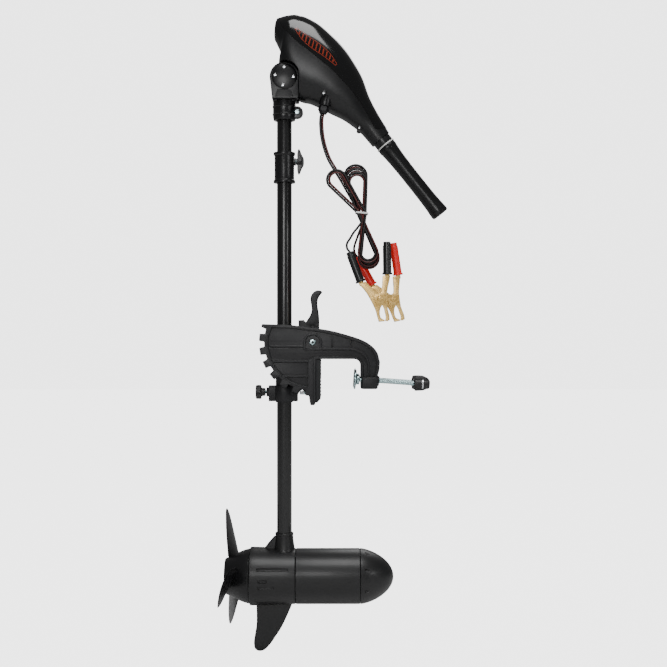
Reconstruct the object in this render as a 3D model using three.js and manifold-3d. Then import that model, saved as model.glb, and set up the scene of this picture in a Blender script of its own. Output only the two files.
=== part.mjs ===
// Transom-mounted electric trolling motor with a tilting clamp bracket, a telescopic twist-grip tiller
// and a twin battery lead with two clips. Millimetres, +Z up, +X forward into the boat.
// The origin is the middle of the transom pad's face, so the boat's transom lies in the plane X = 0.
import * as THREE from 'three';
import { mergeVertices } from 'three/addons/utils/BufferGeometryUtils.js';
import Module from 'manifold-3d';

const wasm = await Module();
wasm.setup();

// ---- driving dimensions ----
const GAP = 0.3;
const MAST = { x: -64, radius: 13, bore: 10, top: 470, bottom: -290 };
const TILT = { x: -14, z: 63, boltRadius: 3, hubRadius: 12 };
const QUADRANT = { tip: 92.5, root: 83.5, firstNotch: 167.2, pitch: 15.2, notches: 7 };
const PLATE = { inner: 21.3, face: 31, rib: 33.5 };
const ARM_CHANNEL = 14.5;
const THROAT = { ceiling: 34, jaw: -8.5, arm: 69.5, corner: 13, bottom: -17.5 };
const CLAMP = { y: 29, x: 99.75, z: -3.9, slope: 3.97, rod: 3.8, padRadius: 17 };
const LOCK = { radius: 3.75, seat: 87.6, rodX: -33 };
const LEVER = { x: -14, z: 89 };
const PIVOT = { x: -63, z: 522, cheekRadius: 25.7, lugRadius: 22, lug: 13.5, cheek: 25 };
const TILLER = { x: 117, z: 402.5, along: new THREE.Vector3(0.622, 0, -0.783).normalize() };
const MOTOR = { z: -346, radius: 48, front: 68.25, back: -43.6, hub: -123.4, tail: -167.5 };
const PROP = { blades: 3, pitch: 110, turn: 33 };
const GLAND = { x: 6, y: -22, z: 471 };
const HANK = { near: -82, far: -62, tie: 280.2 };
const CORE = 2;

const material = (color, roughness, metalness = 0) =>
  new THREE.MeshStandardMaterial({ color, roughness, metalness });
const NYLON = material(0x242427, 0.62);
const GLOSS = material(0x0c0c0e, 0.16);
const MATTE = material(0x1a1a1c, 0.5);
const PAINT = material(0x141416, 0.4);
const COMPOSITE = material(0x101012, 0.35);
const RUBBER = material(0x1b1b1d, 0.8);
const ZINC = material(0xb4c0c2, 0.3, 0.9);
const STEEL = material(0xb9bcc0, 0.3, 0.95);
const ACETAL = material(0xdcdcd6, 0.45);
const BRASS = material(0xcaa75f, 0.32, 0.85);
const COPPER = material(0xb0693a, 0.4, 0.8);
const CERAMIC = material(0x3a3b3f, 0.7);
const BLACK_SLEEVE = material(0x2a2b2e, 0.6);
const RED_SLEEVE = material(0xc81e1c, 0.5);
const CABLE = material(0x1c1213, 0.55);
const TIE = material(0xe6e6e6, 0.4);

// ---- solids ----
function toSolid(geometry) {
  const plain = geometry.clone();
  plain.deleteAttribute('normal');
  plain.deleteAttribute('uv');
  const merged = mergeVertices(plain, 1e-4);
  const position = merged.attributes.position;
  const index = merged.index.array;
  const corners = [0, 1, 2].map(() => new THREE.Vector3());
  const triangles = [];
  let volume = 0;
  for (let i = 0; i < index.length; i += 3) {
    const [a, b, c] = [index[i], index[i + 1], index[i + 2]];
    if (a === b || b === c || c === a) continue;
    [a, b, c].forEach((n, k) => corners[k].fromBufferAttribute(position, n));
    volume += corners[0].dot(corners[1].clone().cross(corners[2]));
    triangles.push([a, b, c]);
  }
  const outward = volume > 0 ? triangles : triangles.map(([a, b, c]) => [a, c, b]);
  return new wasm.Manifold(new wasm.Mesh({
    numProp: 3,
    vertProperties: new Float32Array(position.array),
    triVerts: new Uint32Array(outward.flat()),
  }));
}

function toGeometry(solid) {
  const mesh = solid.getMesh();
  const geometry = new THREE.BufferGeometry();
  geometry.setAttribute('position', new THREE.BufferAttribute(new Float32Array(mesh.vertProperties), 3));
  geometry.setIndex(new THREE.BufferAttribute(new Uint32Array(mesh.triVerts), 1));
  return geometry;
}

const join = (...solids) => solids.reduce((sum, solid) => sum.add(solid));
const cut = (solid, ...tools) => tools.reduce((rest, tool) => rest.subtract(tool), solid);

function box(x, y, z) {
  const geometry = new THREE.BoxGeometry(x[1] - x[0], y[1] - y[0], z[1] - z[0]);
  geometry.translate((x[0] + x[1]) / 2, (y[0] + y[1]) / 2, (z[0] + z[1]) / 2);
  return toSolid(geometry);
}

const symmetric = (half) => [-half, half];

// Turns a shape built along +Y so that its foot is at start and it points along a direction.
function place(geometry, start, direction) {
  const turn = new THREE.Quaternion().setFromUnitVectors(new THREE.Vector3(0, 1, 0), direction);
  geometry.applyQuaternion(turn);
  geometry.translate(start.x, start.y, start.z);
  return geometry;
}

const at = (x, y, z) => new THREE.Vector3(x, y, z);

function bar(start, end, radius, sides = 20, endRadius = radius) {
  const along = end.clone().sub(start);
  const length = along.length();
  const geometry = new THREE.CylinderGeometry(endRadius, radius, length, sides);
  geometry.translate(0, length / 2, 0);
  return toSolid(place(geometry, start, along.normalize()));
}

// A ring-shaped or solid turned piece: [radius, distance] pairs along a direction from start.
function turned(profile, start, direction, sides = 20) {
  const points = profile.map(([radius, distance]) => new THREE.Vector2(radius, distance));
  if (profile[0][0] > 0) points.push(points[0].clone());
  return toSolid(place(new THREE.LatheGeometry(points, sides), start, direction));
}

const tubeProfile = (outer, inner, from, to) => [[inner, from], [outer, from], [outer, to], [inner, to]];

// An outline in the XZ plane, given as [x, z] pairs, made solid between two values of Y.
function slab(outline, near, far) {
  const shape = outline instanceof THREE.Shape
    ? outline
    : new THREE.Shape(outline.map(([x, z]) => new THREE.Vector2(x, z)));
  const geometry = new THREE.ExtrudeGeometry(shape, {
    depth: far - near, bevelEnabled: false, curveSegments: 3,
  });
  geometry.rotateX(Math.PI / 2);
  geometry.translate(0, far, 0);
  return toSolid(geometry);
}

// A strip with round ends between two [x, z] points.
function strip(a, b, radius, near, far) {
  const along = new THREE.Vector2(b[0] - a[0], b[1] - a[1]);
  const start = along.angle() + Math.PI / 2;
  const shape = new THREE.Shape();
  shape.absarc(a[0], a[1], radius, start, start + Math.PI, false);
  shape.absarc(b[0], b[1], radius, start + Math.PI, start + 2 * Math.PI, false);
  return slab(shape, near, far);
}

const discAt = (x, z, radius, near, far, sides = 20) => bar(at(x, near, z), at(x, far, z), radius, sides);

// A closed skin over rings that have the same number of points, closed flat at both ends.
function loft(rings) {
  const sides = rings[0].length;
  const vertices = rings.flat();
  const faces = [];
  for (let ring = 0; ring < rings.length - 1; ring += 1) {
    for (let side = 0; side < sides; side += 1) {
      const a = ring * sides + side;
      const b = ring * sides + ((side + 1) % sides);
      faces.push(a, b, a + sides, b, b + sides, a + sides);
    }
  }
  for (const [ring, flip] of [[0, true], [rings.length - 1, false]]) {
    const centre = rings[ring].reduce((sum, p) => sum.add(p), at(0, 0, 0)).divideScalar(sides);
    vertices.push(centre);
    for (let side = 0; side < sides; side += 1) {
      const a = ring * sides + side;
      const b = ring * sides + ((side + 1) % sides);
      faces.push(...(flip ? [b, a, vertices.length - 1] : [a, b, vertices.length - 1]));
    }
  }
  const geometry = new THREE.BufferGeometry().setFromPoints(vertices);
  geometry.setIndex(faces);
  return toSolid(geometry);
}

// A cord's tube along its route.
function cordTube(route, radius, sides, steps) {
  const section = new THREE.Shape();
  for (let side = 0; side < sides; side += 1) {
    const angle = (2 * Math.PI * side) / sides;
    const point = [radius * Math.cos(angle), radius * Math.sin(angle)];
    if (side) section.lineTo(...point);
    else section.moveTo(...point);
  }
  const path = new THREE.CatmullRomCurve3(route.map(([x, y, z]) => at(x, y, z)));
  return toSolid(new THREE.ExtrudeGeometry(section, { steps, extrudePath: path, bevelEnabled: false }));
}

const motor = new THREE.Group();

function piece(name, solid, finish) {
  const mesh = new THREE.Mesh(toGeometry(solid), finish);
  mesh.name = name;
  motor.add(mesh);
}

// ---- clamp bracket ----
const radians = (degrees) => (degrees * Math.PI) / 180;
const aroundBolt = (radius, degrees) =>
  [TILT.x + radius * Math.cos(radians(degrees)), TILT.z + radius * Math.sin(radians(degrees))];

function bracketOutline() {
  const outline = [aroundBolt(QUADRANT.tip, QUADRANT.firstNotch - 7)];
  for (let n = 0; n < QUADRANT.notches; n += 1) {
    const middle = QUADRANT.firstNotch + n * QUADRANT.pitch;
    outline.push(
      aroundBolt(QUADRANT.tip, middle - 3.6), aroundBolt(QUADRANT.root, middle - 2.9),
      aroundBolt(QUADRANT.root, middle + 2.9), aroundBolt(QUADRANT.tip, middle + 3.6),
    );
  }
  outline.push(aroundBolt(QUADRANT.tip, 266), [-19, -40], [-17.5, -45.5], [-11, -45.5], [THROAT.jaw, -41]);
  outline.push([THROAT.jaw, THROAT.ceiling], [THROAT.arm - THROAT.corner, THROAT.ceiling]);
  for (const degrees of [67.5, 45, 22.5, 0]) {
    outline.push([
      THROAT.arm - THROAT.corner + THROAT.corner * Math.cos(radians(degrees)),
      THROAT.ceiling - THROAT.corner + THROAT.corner * Math.sin(radians(degrees)),
    ]);
  }
  outline.push([THROAT.arm, THROAT.bottom], [97, THROAT.bottom], [98, 3.5], [101, 16], [102, 29]);
  outline.push([98.5, 43], [88, 56.5], [72, 66.5], [49, 74.5], [26, 81], [-4, 86.5], [-51, 92.5]);
  return outline;
}

const clampAlong = at(Math.cos(radians(CLAMP.slope)), 0, -Math.sin(radians(CLAMP.slope)));
const clampPoint = (y, distance) => at(CLAMP.x, y, CLAMP.z).addScaledVector(clampAlong, distance);

function makeBracket() {
  const outline = bracketOutline();
  const body = slab(outline, -PLATE.face, PLATE.face);
  const tall = [-130, 140];
  const channel = [
    box([-130, -15], symmetric(PLATE.inner), tall),
    box([-16, 4], symmetric(PLATE.inner), [43, 140]),
    box([3, 80], symmetric(ARM_CHANNEL), [42, 140]),
  ];
  const ribs = [];
  const panels = [];
  for (const [near, far] of [[-PLATE.rib, -PLATE.face + 1], [PLATE.face - 1, PLATE.rib]]) {
    const rim = cut(
      slab(outline, near, far),
      discAt(TILT.x, TILT.z, 75.5, near - 1, far + 1, 48)
        .subtract(box([-25, 90], [near - 1, far + 1], [-60, 200])),
      slab([[-26, 37], [54, 37], [66, 30], [74, 18], [74, -30], [93, -30], [95, 29], [91, 41],
        [82, 52], [68, 60], [46, 68], [24, 75], [-26, 84]], near - 1, far + 1),
      box([-26, -15.5], [near - 1, far + 1], [-60, 38]),
    );
    ribs.push(rim);
    for (const z of [56, 30, 4.5]) ribs.push(box([-90, -13], [near, far], [z - 2, z + 2])
      .intersect(discAt(TILT.x, TILT.z, 78, near - 1, far + 1, 32)));
    ribs.push(slab([[-20, 53], [54, 53], [76, 44], [84, 26], [84, -15], [80, -15], [80, 24], [73, 41],
      [53, 49], [-20, 49]], near, far));
    panels.push(discAt(TILT.x, TILT.z, 12, near < 0 ? near : far - 5, near < 0 ? near + 5 : far, 24));
  }
  const boss = box([THROAT.arm, 98], symmetric(43), [THROAT.bottom, 3.6]);
  const holes = [-CLAMP.y, CLAMP.y].map((y) => bar(clampPoint(y, -45), clampPoint(y, 10), CLAMP.rod + GAP, 16));
  const bolt = discAt(TILT.x, TILT.z, TILT.boltRadius + GAP, -50, 50, 16);
  return cut(join(cut(body, ...channel), boss, ...ribs), ...panels, ...holes, bolt);
}

piece('bracket_body', makeBracket(), NYLON);

piece('transom_pad', cut(
  slab([[THROAT.jaw + GAP, THROAT.ceiling - GAP], [0, THROAT.ceiling - GAP], [0, -36], [-5, -41],
    [THROAT.jaw + GAP, -41]], -33, 33),
  box([-3, 1], symmetric(12), [-50, -18]),
), RUBBER);

const outerBolt = PLATE.rib - 5 + GAP;
piece('tilt_bolt', join(
  discAt(TILT.x, TILT.z, TILT.boltRadius, -outerBolt, 35, 16),
  discAt(TILT.x, TILT.z, 5.3, -outerBolt - 4.5, -outerBolt, 20),
), ZINC);
piece('tilt_nut', cut(
  discAt(TILT.x, TILT.z, 6.2, outerBolt, outerBolt + 5, 6),
  discAt(TILT.x, TILT.z, TILT.boltRadius + GAP, 20, 40, 16),
), ZINC);

// ---- clamp screws ----
for (const [side, y] of [['near', -CLAMP.y], ['far', CLAMP.y]]) {
  const along = (distance) => clampPoint(y, distance);
  piece(`clamp_screw_${side}`, join(
    bar(along(-34.5), along(63), CLAMP.rod, 16),
    bar(along(-37.3), along(-34), 5.4, 16),
  ), ZINC);
  piece(`clamp_knob_${side}`, cut(
    join(bar(along(61), along(88), 8.8, 16, 8), box([160, 186], [y - 3.5, y + 3.5], [-21, 4])),
    bar(along(55), along(63 + GAP), CLAMP.rod + GAP, 16),
  ), PAINT);
  const pad = turned([[0, -41.4], [CLAMP.padRadius, -42], [CLAMP.padRadius, -39.6], [8.5, -38.4],
    [8.5, -33.4], [4.3, -33.4], [4.3, -33.7], [5.9, -33.7], [5.9, -37.7], [0, -37.7]],
  along(0), clampAlong, 24);
  piece(`clamp_pad_${side}`, pad, ZINC);
}

// ---- tilting carriage ----
const lockSeat = aroundBolt(LOCK.seat, QUADRANT.firstNotch + 6 * QUADRANT.pitch);
const sleeveRadius = 15.2;

function makeCarriage() {
  const mastAxis = (from, to, radius, sides) => bar(at(MAST.x, 0, from), at(MAST.x, 0, to), radius, sides);
  const hub = discAt(TILT.x, TILT.z, TILT.hubRadius, -20.8, 20.8, 28);
  const upper = mastAxis(46, 80, 19, 24);
  const lower = join(
    mastAxis(-40, -13, 19.2, 24),
    box([-91, -66], symmetric(11), [-40, -13]),
    bar(at(-95, 0, -24.3), at(-90, 0, -24.3), 8, 20),
    box([-60, -40.5], symmetric(14), [-40, -13]),
  );
  const spine = box([-51, -41], symmetric(8), [-20, 74]);
  const link = box([-52, -14], symmetric(12), [54, 74]);
  const cheeks = [-1, 1].map((side) => slab([[-39, 80], [-39, 101], [-30, 101.5], [-27, 98], [-4, 98],
    [-3, 88], [-5, 60], [-24, 60]], side < 0 ? -12 : 7.5, side < 0 ? -7.5 : 12));
  const guide = box([-43, -27.5], symmetric(7), [22, 28]);
  return cut(
    join(hub, upper, lower, spine, link, guide, ...cheeks),
    mastAxis(-50, 90, sleeveRadius + GAP, 24),
    discAt(TILT.x, TILT.z, 6, -30, 30, 20),
    discAt(LEVER.x, LEVER.z, 3.3, -20, 20, 16),
    bar(at(-100, 0, -24.3), at(-70, 0, -24.3), 3.3, 16),
    box([-40.4, -28], symmetric(5.3), [50, 76]),
    bar(at(LOCK.rodX, 0, 15), at(LOCK.rodX, 0, 40), 3, 12, 3),
    box([LOCK.rodX - 5.5, LOCK.rodX + 3], symmetric(3), [20, 30]),
  );
}

piece('carriage_body', makeCarriage(), NYLON);
piece('pivot_bushing', cut(
  discAt(TILT.x, TILT.z, 5.7, -20.8, 20.8, 20),
  discAt(TILT.x, TILT.z, TILT.boltRadius + GAP, -30, 30, 16),
), ACETAL);

// The lever swings towards the mast and its short arm pushes the lock rod down.
const leverOutline = new THREE.Shape([
  [-33.5, 88], [-33.5, 93.5], [-28, 94.5], [-24, 101], [-15.5, 116], [-17.5, 132], [-18, 141], [-14, 149],
  [-8, 153.4], [-2, 153.2], [2.3, 150.2], [-2.5, 144], [-5.6, 136], [-6, 126], [-3.6, 112], [-2.6, 100],
  [-3, 85.5], [-12, 81.5], [-20, 82.5], [-25, 85.5],
].map(([x, z]) => new THREE.Vector2(x, z)));
piece('release_lever', join(
  slab(leverOutline, -7, 7),
  discAt(LEVER.x, LEVER.z, 3, -11.8, 11.8, 16),
), NYLON);

const lockRodTop = 86.8;
piece('lock_rod', join(
  bar(at(LOCK.rodX, 0, -12), at(LOCK.rodX, 0, lockRodTop), 2.4, 12),
  bar(at(LOCK.rodX, 0, 50.5), at(LOCK.rodX, 0, 53.5), 4.6, 16),
  cut(
    box([lockSeat[0] - 5.6, lockSeat[0] + 5.6], symmetric(7), [lockSeat[1] - 6, lockSeat[1] + 12]),
    discAt(lockSeat[0], lockSeat[1], LOCK.radius + GAP, -20, 20, 16),
  ),
), ZINC);
piece('lock_pin', discAt(lockSeat[0], lockSeat[1], LOCK.radius, -32, 32, 16), STEEL);

function makeLockSpring() {
  const turns = 5;
  const points = [];
  for (let step = 0; step <= turns * 10; step += 1) {
    const angle = (2 * Math.PI * step) / 10;
    const height = 29.2 + (20.4 * step) / (turns * 10);
    points.push([LOCK.rodX + 3.6 * Math.cos(angle), 3.6 * Math.sin(angle), height]);
  }
  return cordTube(points, 0.55, 6, turns * 10);
}
piece('lock_spring', makeLockSpring(), STEEL);

// ---- steering sleeve and its tension knob ----
piece('steering_sleeve', turned(
  [[MAST.radius + GAP, -42], [sleeveRadius, -42], [sleeveRadius, 80.3], [18.2, 80.3], [18.2, 83.5],
    [MAST.radius + GAP, 83.5]], at(MAST.x, 0, 0), at(0, 0, 1), 24), NYLON);

function makeTensionKnob() {
  const axis = (x) => at(x, 0, -24.3);
  const lobes = [];
  for (let n = 0; n < 6; n += 1) {
    const angle = radians(60 * n);
    const [dy, dz] = [10 * Math.cos(angle), 10 * Math.sin(angle)];
    lobes.push(bar(at(-114, dy, -24.3 + dz), at(-104, dy, -24.3 + dz), 2.6, 10));
  }
  return join(bar(axis(-114), axis(-104), 10.4, 24), ...lobes, bar(axis(-104.5), axis(-97), 7, 20),
    bar(axis(-97.5), axis(MAST.x - sleeveRadius - GAP - 0.2), 3, 12));
}
piece('tension_knob', makeTensionKnob(), PAINT);

// ---- mast, head yoke and depth collar ----
piece('mast_tube', turned(tubeProfile(MAST.radius, MAST.bore, MAST.bottom, MAST.top),
  at(MAST.x, 0, 0), at(0, 0, 1), 24), COMPOSITE);

function makeHeadYoke() {
  const neck = turned([[13.3, 450], [18.6, 450], [20, 456], [20, 459.2], [21, 459.2], [21, 461.2],
    [20, 461.2], [20, 472.8], [21, 472.8], [21, 474.8], [20, 474.8], [20, 490], [0, 490],
    [0, 470.5], [13.3, 470.5]], at(MAST.x, 0, 0), at(0, 0, 1), 24);
  const ear = join(discAt(-41.5, 464, 10, -7, 7, 20), box([-54, -41], symmetric(7), [454, 474]));
  const fork = join(
    discAt(PIVOT.x, PIVOT.z, PIVOT.cheekRadius, -PIVOT.cheek, PIVOT.cheek, 24),
    slab([[-87.5, 516], [-84, 484], [-39, 484], [-38.1, 490], [-38.1, 516]], -PIVOT.cheek, PIVOT.cheek),
  );
  return cut(
    join(neck, ear, fork),
    box([-95, -30], symmetric(PIVOT.lug + GAP), [499.2, 560]),
    discAt(PIVOT.x, PIVOT.z, 4.3, -40, 40, 16),
    bar(at(MAST.x, 0, 440), at(MAST.x, 0, 470.5), 13.3, 24),
    discAt(-41.5, 464, 2.8, -20, 20, 12),
  );
}
piece('head_yoke', makeHeadYoke(), MATTE);
piece('yoke_screw', join(
  discAt(-41.5, 464, 2.5, -7.3, 7.3, 12),
  discAt(-41.5, 464, 4, -10.3, -7.3, 16),
  discAt(-41.5, 464, 4, 7.3, 10.3, 6),
), ZINC);
piece('pivot_bolt', discAt(PIVOT.x, PIVOT.z, 4, -PIVOT.cheek, PIVOT.cheek, 20), STEEL);
for (const [name, side] of [['pivot_cover_near', -1], ['pivot_cover_far', 1]]) {
  const face = (distance) => side * distance;
  const flat = (radius, from, to, x = PIVOT.x, z = PIVOT.z, sides = 24) =>
    bar(at(x, face(from), z), at(x, face(to), z), radius, sides);
  const screws = [90, 173, 262, 355].map((degrees) => flat(3, 28.5, 29.6,
    PIVOT.x + 15.9 * Math.cos(radians(degrees)), PIVOT.z + 15.9 * Math.sin(radians(degrees)), 8));
  piece(name, join(flat(21.5, PIVOT.cheek + GAP, 28), flat(19.5, 27.9, 28.8), ...screws), MATTE);
}

function makeDepthCollar() {
  const ring = turned([[13.3, 341], [19, 341], [19, 345.5], [17.3, 346.5], [17.3, 388.5], [19, 389.5],
    [19, 394], [13.3, 394]], at(MAST.x, 0, 0), at(0, 0, 1), 24);
  const boss = bar(at(-52, 0, 378), at(-43.6, 0, 378), 6.5, 16);
  return cut(join(ring, boss), bar(at(MAST.x, 0, 330), at(MAST.x, 0, 400), 13.3, 24),
    bar(at(-58, 0, 378), at(-40, 0, 378), 3.3, 12));
}
piece('depth_collar', makeDepthCollar(), MATTE);
piece('depth_wing_screw', join(
  bar(at(-50.4, 0, 378), at(-42, 0, 378), 3, 12),
  bar(at(-43.2, 0, 378), at(-34, 0, 378), 5.6, 16),
  slab([[-41.5, 378], [-41.5, 393], [-40, 400], [-37.5, 400.5], [-33, 390], [-29.6, 384], [-29.6, 372],
    [-33, 365], [-37.5, 358], [-40, 359], [-41.5, 365]], -2.2, 2.2),
), MATTE);

// ---- motor ----
const motorAxis = (x) => at(x, 0, MOTOR.z);
const forward = at(1, 0, 0);
const aroundMotor = (radius, degrees, x) =>
  at(x, -radius * Math.cos(radians(degrees)), MOTOR.z + radius * Math.sin(radians(degrees)));
const BOLT_ANGLES = { upper: 67.5, lower: 247.5 };

function makeRearHousing() {
  const { back, hub } = MOTOR;
  const shell = turned([[MOTOR.radius, back - GAP], [50.4, hub + 6], [50.4, hub], [11.3, hub],
    [11.3, hub + 10], [6, hub + 10], [6, -64], [11.3, -64], [11.3, -54], [43, -50], [43, back - GAP]]
    .map(([radius, x]) => [radius, x]), motorAxis(0), forward, 32);
  const boot = join(
    bar(at(MAST.x, 0, MOTOR.z + 40), at(MAST.x, 0, -298), 18.5, 28),
    bar(at(MAST.x, 0, -298.2), at(MAST.x, 0, -270), 18.5, 28, 16),
    slab([[-64, -275], [-80, -276], [-92, -287], [-101, -300], [-101, -310], [-64, -310]], -7, 7),
    slab([[-64, -296], [-46, -298], [-36, -310], [-64, -310]], -9, 9).intersect(
      box([-100, -44.2], symmetric(20), [-320, -250])),
  );
  const skeg = slab([[-114, -385], [-112.6, -412], [-112.4, -429], [-117.3, -461], [-116.4, -471],
    [-112.5, -475.5], [-106.2, -477.2], [-99, -475.5], [-93, -470.5], [-79, -451.5], [-64.4, -427],
    [-51, -397], [-49, -385]], -3, 3);
  const bolts = Object.values(BOLT_ANGLES).map((degrees) =>
    bar(aroundMotor(40.5, degrees, -80), aroundMotor(40.5, degrees, -30), 2.8, 12));
  const slots = [[20, 43, -110, -56], [-11, 46.5, -108, -80]].flatMap(([height, deep, from, to]) => [-1, 1]
    .map((side) => box([from, to], side < 0 ? [-60, -deep] : [deep, 60],
      [MOTOR.z + height - 3, MOTOR.z + height + 3])));
  return cut(join(shell, boot, skeg), bar(at(MAST.x, 0, -290.3), at(MAST.x, 0, -250), 13.3, 24),
    ...bolts, ...slots);
}
piece('motor_rear_housing', makeRearHousing(), PAINT);
piece('motor_can', turned(tubeProfile(MOTOR.radius, 45, MOTOR.back, MOTOR.front - GAP),
  motorAxis(0), forward, 32), PAINT);

function makeNose() {
  const tip = 58.5;
  const outer = [];
  for (const share of [0, 0.13, 0.28, 0.44, 0.59, 0.73, 0.84, 0.92, 0.975]) {
    outer.push([MOTOR.radius * Math.sqrt(1 - share ** 1.5), share * tip]);
  }
  const profile = [[0, 12], [11.3, 12], [11.3, 0], [15, 0], [15, 18], [33, 18], [36.6, 10], [36.6, 0],
    ...outer, [0, tip]];
  const body = turned(profile, motorAxis(MOTOR.front), forward, 28);
  const flutes = [];
  for (let n = 0; n < 8; n += 1) {
    const degrees = 22.5 + 45 * n;
    flutes.push(bar(aroundMotor(46.5, degrees, MOTOR.front + 8), aroundMotor(46.5, degrees, 130), 3.4, 10));
  }
  const bolts = Object.values(BOLT_ANGLES).map((degrees) =>
    bar(aroundMotor(40.5, degrees, 60), aroundMotor(40.5, degrees, 130), 2.8, 12));
  return cut(body, ...flutes, ...bolts);
}
piece('motor_nose', makeNose(), PAINT);
for (const [name, degrees] of Object.entries(BOLT_ANGLES)) {
  piece(`through_bolt_${name}`, bar(aroundMotor(40.5, degrees, -79), aroundMotor(40.5, degrees, 88), 2.5, 12), STEEL);
}
for (const [name, from] of [['magnet_near', -52], ['magnet_far', 128]]) {
  const shape = new THREE.Shape();
  shape.absarc(0, 0, 44.6, radians(from), radians(from + 104), false);
  shape.absarc(0, 0, 38, radians(from + 104), radians(from), true);
  const geometry = new THREE.ExtrudeGeometry(shape, { depth: 84, bevelEnabled: false, curveSegments: 10 });
  geometry.rotateX(Math.PI / 2);
  geometry.rotateZ(-Math.PI / 2);
  geometry.translate(56, 0, MOTOR.z);
  piece(name, toSolid(geometry), CERAMIC);
}
piece('front_bearing', turned(tubeProfile(11, 5.3, 68.6, 79.6), motorAxis(0), forward, 24), STEEL);
piece('rear_bearing', turned(tubeProfile(11, 5.3, -63.6, -54.4), motorAxis(0), forward, 24), STEEL);

// ---- rotor and propeller ----
piece('motor_shaft', bar(motorAxis(-166), motorAxis(79), 5, 20), STEEL);
piece('armature', turned([[5.3, -22], [17, -22], [17, -8], [28, -8], [28, 0], [35.5, 0], [35.5, 42],
  [28, 42], [28, 50], [14, 50], [14, 64], [5.3, 64]], motorAxis(0), forward, 20), COPPER);

function makeBlade(turn) {
  const stations = [36, 50, 66, 84, 102, 113, 118.4];
  const chords = [44, 52, 57, 55, 45, 31, 12];
  const swept = [0, 2, 5, 9, 15, 20, 25];
  const thick = [5.5, 4.4, 3.6, 3, 2.4, 1.9, 1.2];
  const rings = stations.map((radius, n) => {
    const slope = Math.atan(PROP.pitch / (2 * Math.PI * radius));
    const centre = -153 - 15 * ((radius - 36) / 82);
    const ring = [];
    for (let side = 0; side < 10; side += 1) {
      const angle = (2 * Math.PI * side) / 10;
      const along = (chords[n] / 2) * Math.cos(angle);
      const across = (thick[n] / 2) * Math.sin(angle);
      const around = (along * Math.cos(slope) - across * Math.sin(slope) - swept[n]) / radius;
      const x = centre + along * Math.sin(slope) + across * Math.cos(slope);
      ring.push(aroundMotor(radius, 90 + turn + (around * 180) / Math.PI, x));
    }
    return ring;
  });
  return loft(rings);
}

function makePropeller() {
  const { hub, tail } = MOTOR;
  const body = turned([[5.3, hub - 0.6], [47.5, hub - 0.6], [46.5, hub - 4], [45.5, hub - 8], [42, hub - 16],
    [36.5, hub - 28], [31.5, tail + 2], [29.5, tail], [12, tail], [12, tail + 10], [5.3, tail + 10]],
  motorAxis(0), forward, 28);
  const blades = [];
  for (let n = 0; n < PROP.blades; n += 1) blades.push(makeBlade(PROP.turn + 120 * n));
  return cut(join(body, ...blades), bar(motorAxis(-200), motorAxis(tail + 10), 12, 24),
    bar(aroundMotor(14, 0, -146), aroundMotor(14, 180, -146), 2.3, 12),
    bar(motorAxis(-170), motorAxis(-100), 5.3, 20));
}
piece('propeller', makePropeller(), PAINT);
piece('drive_pin', join(
  bar(aroundMotor(13.6, 0, -146), aroundMotor(5.3, 0, -146), 2, 12),
), STEEL);
piece('prop_nut', cut(bar(motorAxis(-165.5), motorAxis(-158), 9, 6), bar(motorAxis(-170), motorAxis(-150), 5.3, 20)),
  STEEL);

// ---- head ----
// Each row is the upper and the lower edge of the casing, as x and z, with half its width there.
const HEAD_RIBS = [
  [-75.8, 626.5, -79, 588, 25], [-62, 630.5, -70, 566, 33], [-45.5, 632.6, -73.5, 547, 37.5],
  [-36, 631, -66, 520, 39.5], [-25.2, 628.3, -50, 492, 40], [-2.8, 616, -33, 482.5, 40], [19.3, 596.8, -19, 479.5, 39.5],
  [36.8, 579.3, -4, 473, 38], [52.5, 558.3, 14, 463.5, 35.5], [71.8, 525, 38, 452, 31],
  [84.7, 490, 55, 440.5, 26], [99.8, 460.3, 70, 428, 21.5], [119, 429, 90.5, 404.5, 18.5],
];
const SEAM = [[-73.5, 623], [-66.5, 608], [-56.4, 594.5], [-40.8, 578.9], [-20.7, 563.5], [-2.8, 548.8],
  [14, 535.5], [36.2, 514.2], [55.3, 494], [78, 462], [96.3, 431.2], [112, 436]];

function headRing([topX, topZ, lowX, lowZ, half], inset, sides = 20) {
  const top = at(topX, 0, topZ);
  const low = at(lowX, 0, lowZ);
  const centre = top.clone().add(low).multiplyScalar(0.5);
  const rise = top.clone().sub(centre);
  rise.setLength(rise.length() - inset);
  const ring = [];
  for (let side = 0; side < sides; side += 1) {
    const angle = (2 * Math.PI * side) / sides;
    const bulge = (value) => Math.sign(value) * Math.abs(value) ** 0.84;
    ring.push(centre.clone().addScaledVector(rise, bulge(Math.cos(angle)))
      .add(at(0, (half - inset) * bulge(Math.sin(angle)), 0)));
  }
  return ring;
}

const tillerAt = (distance) => at(TILLER.x, 0, TILLER.z).addScaledVector(TILLER.along, distance);

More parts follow.
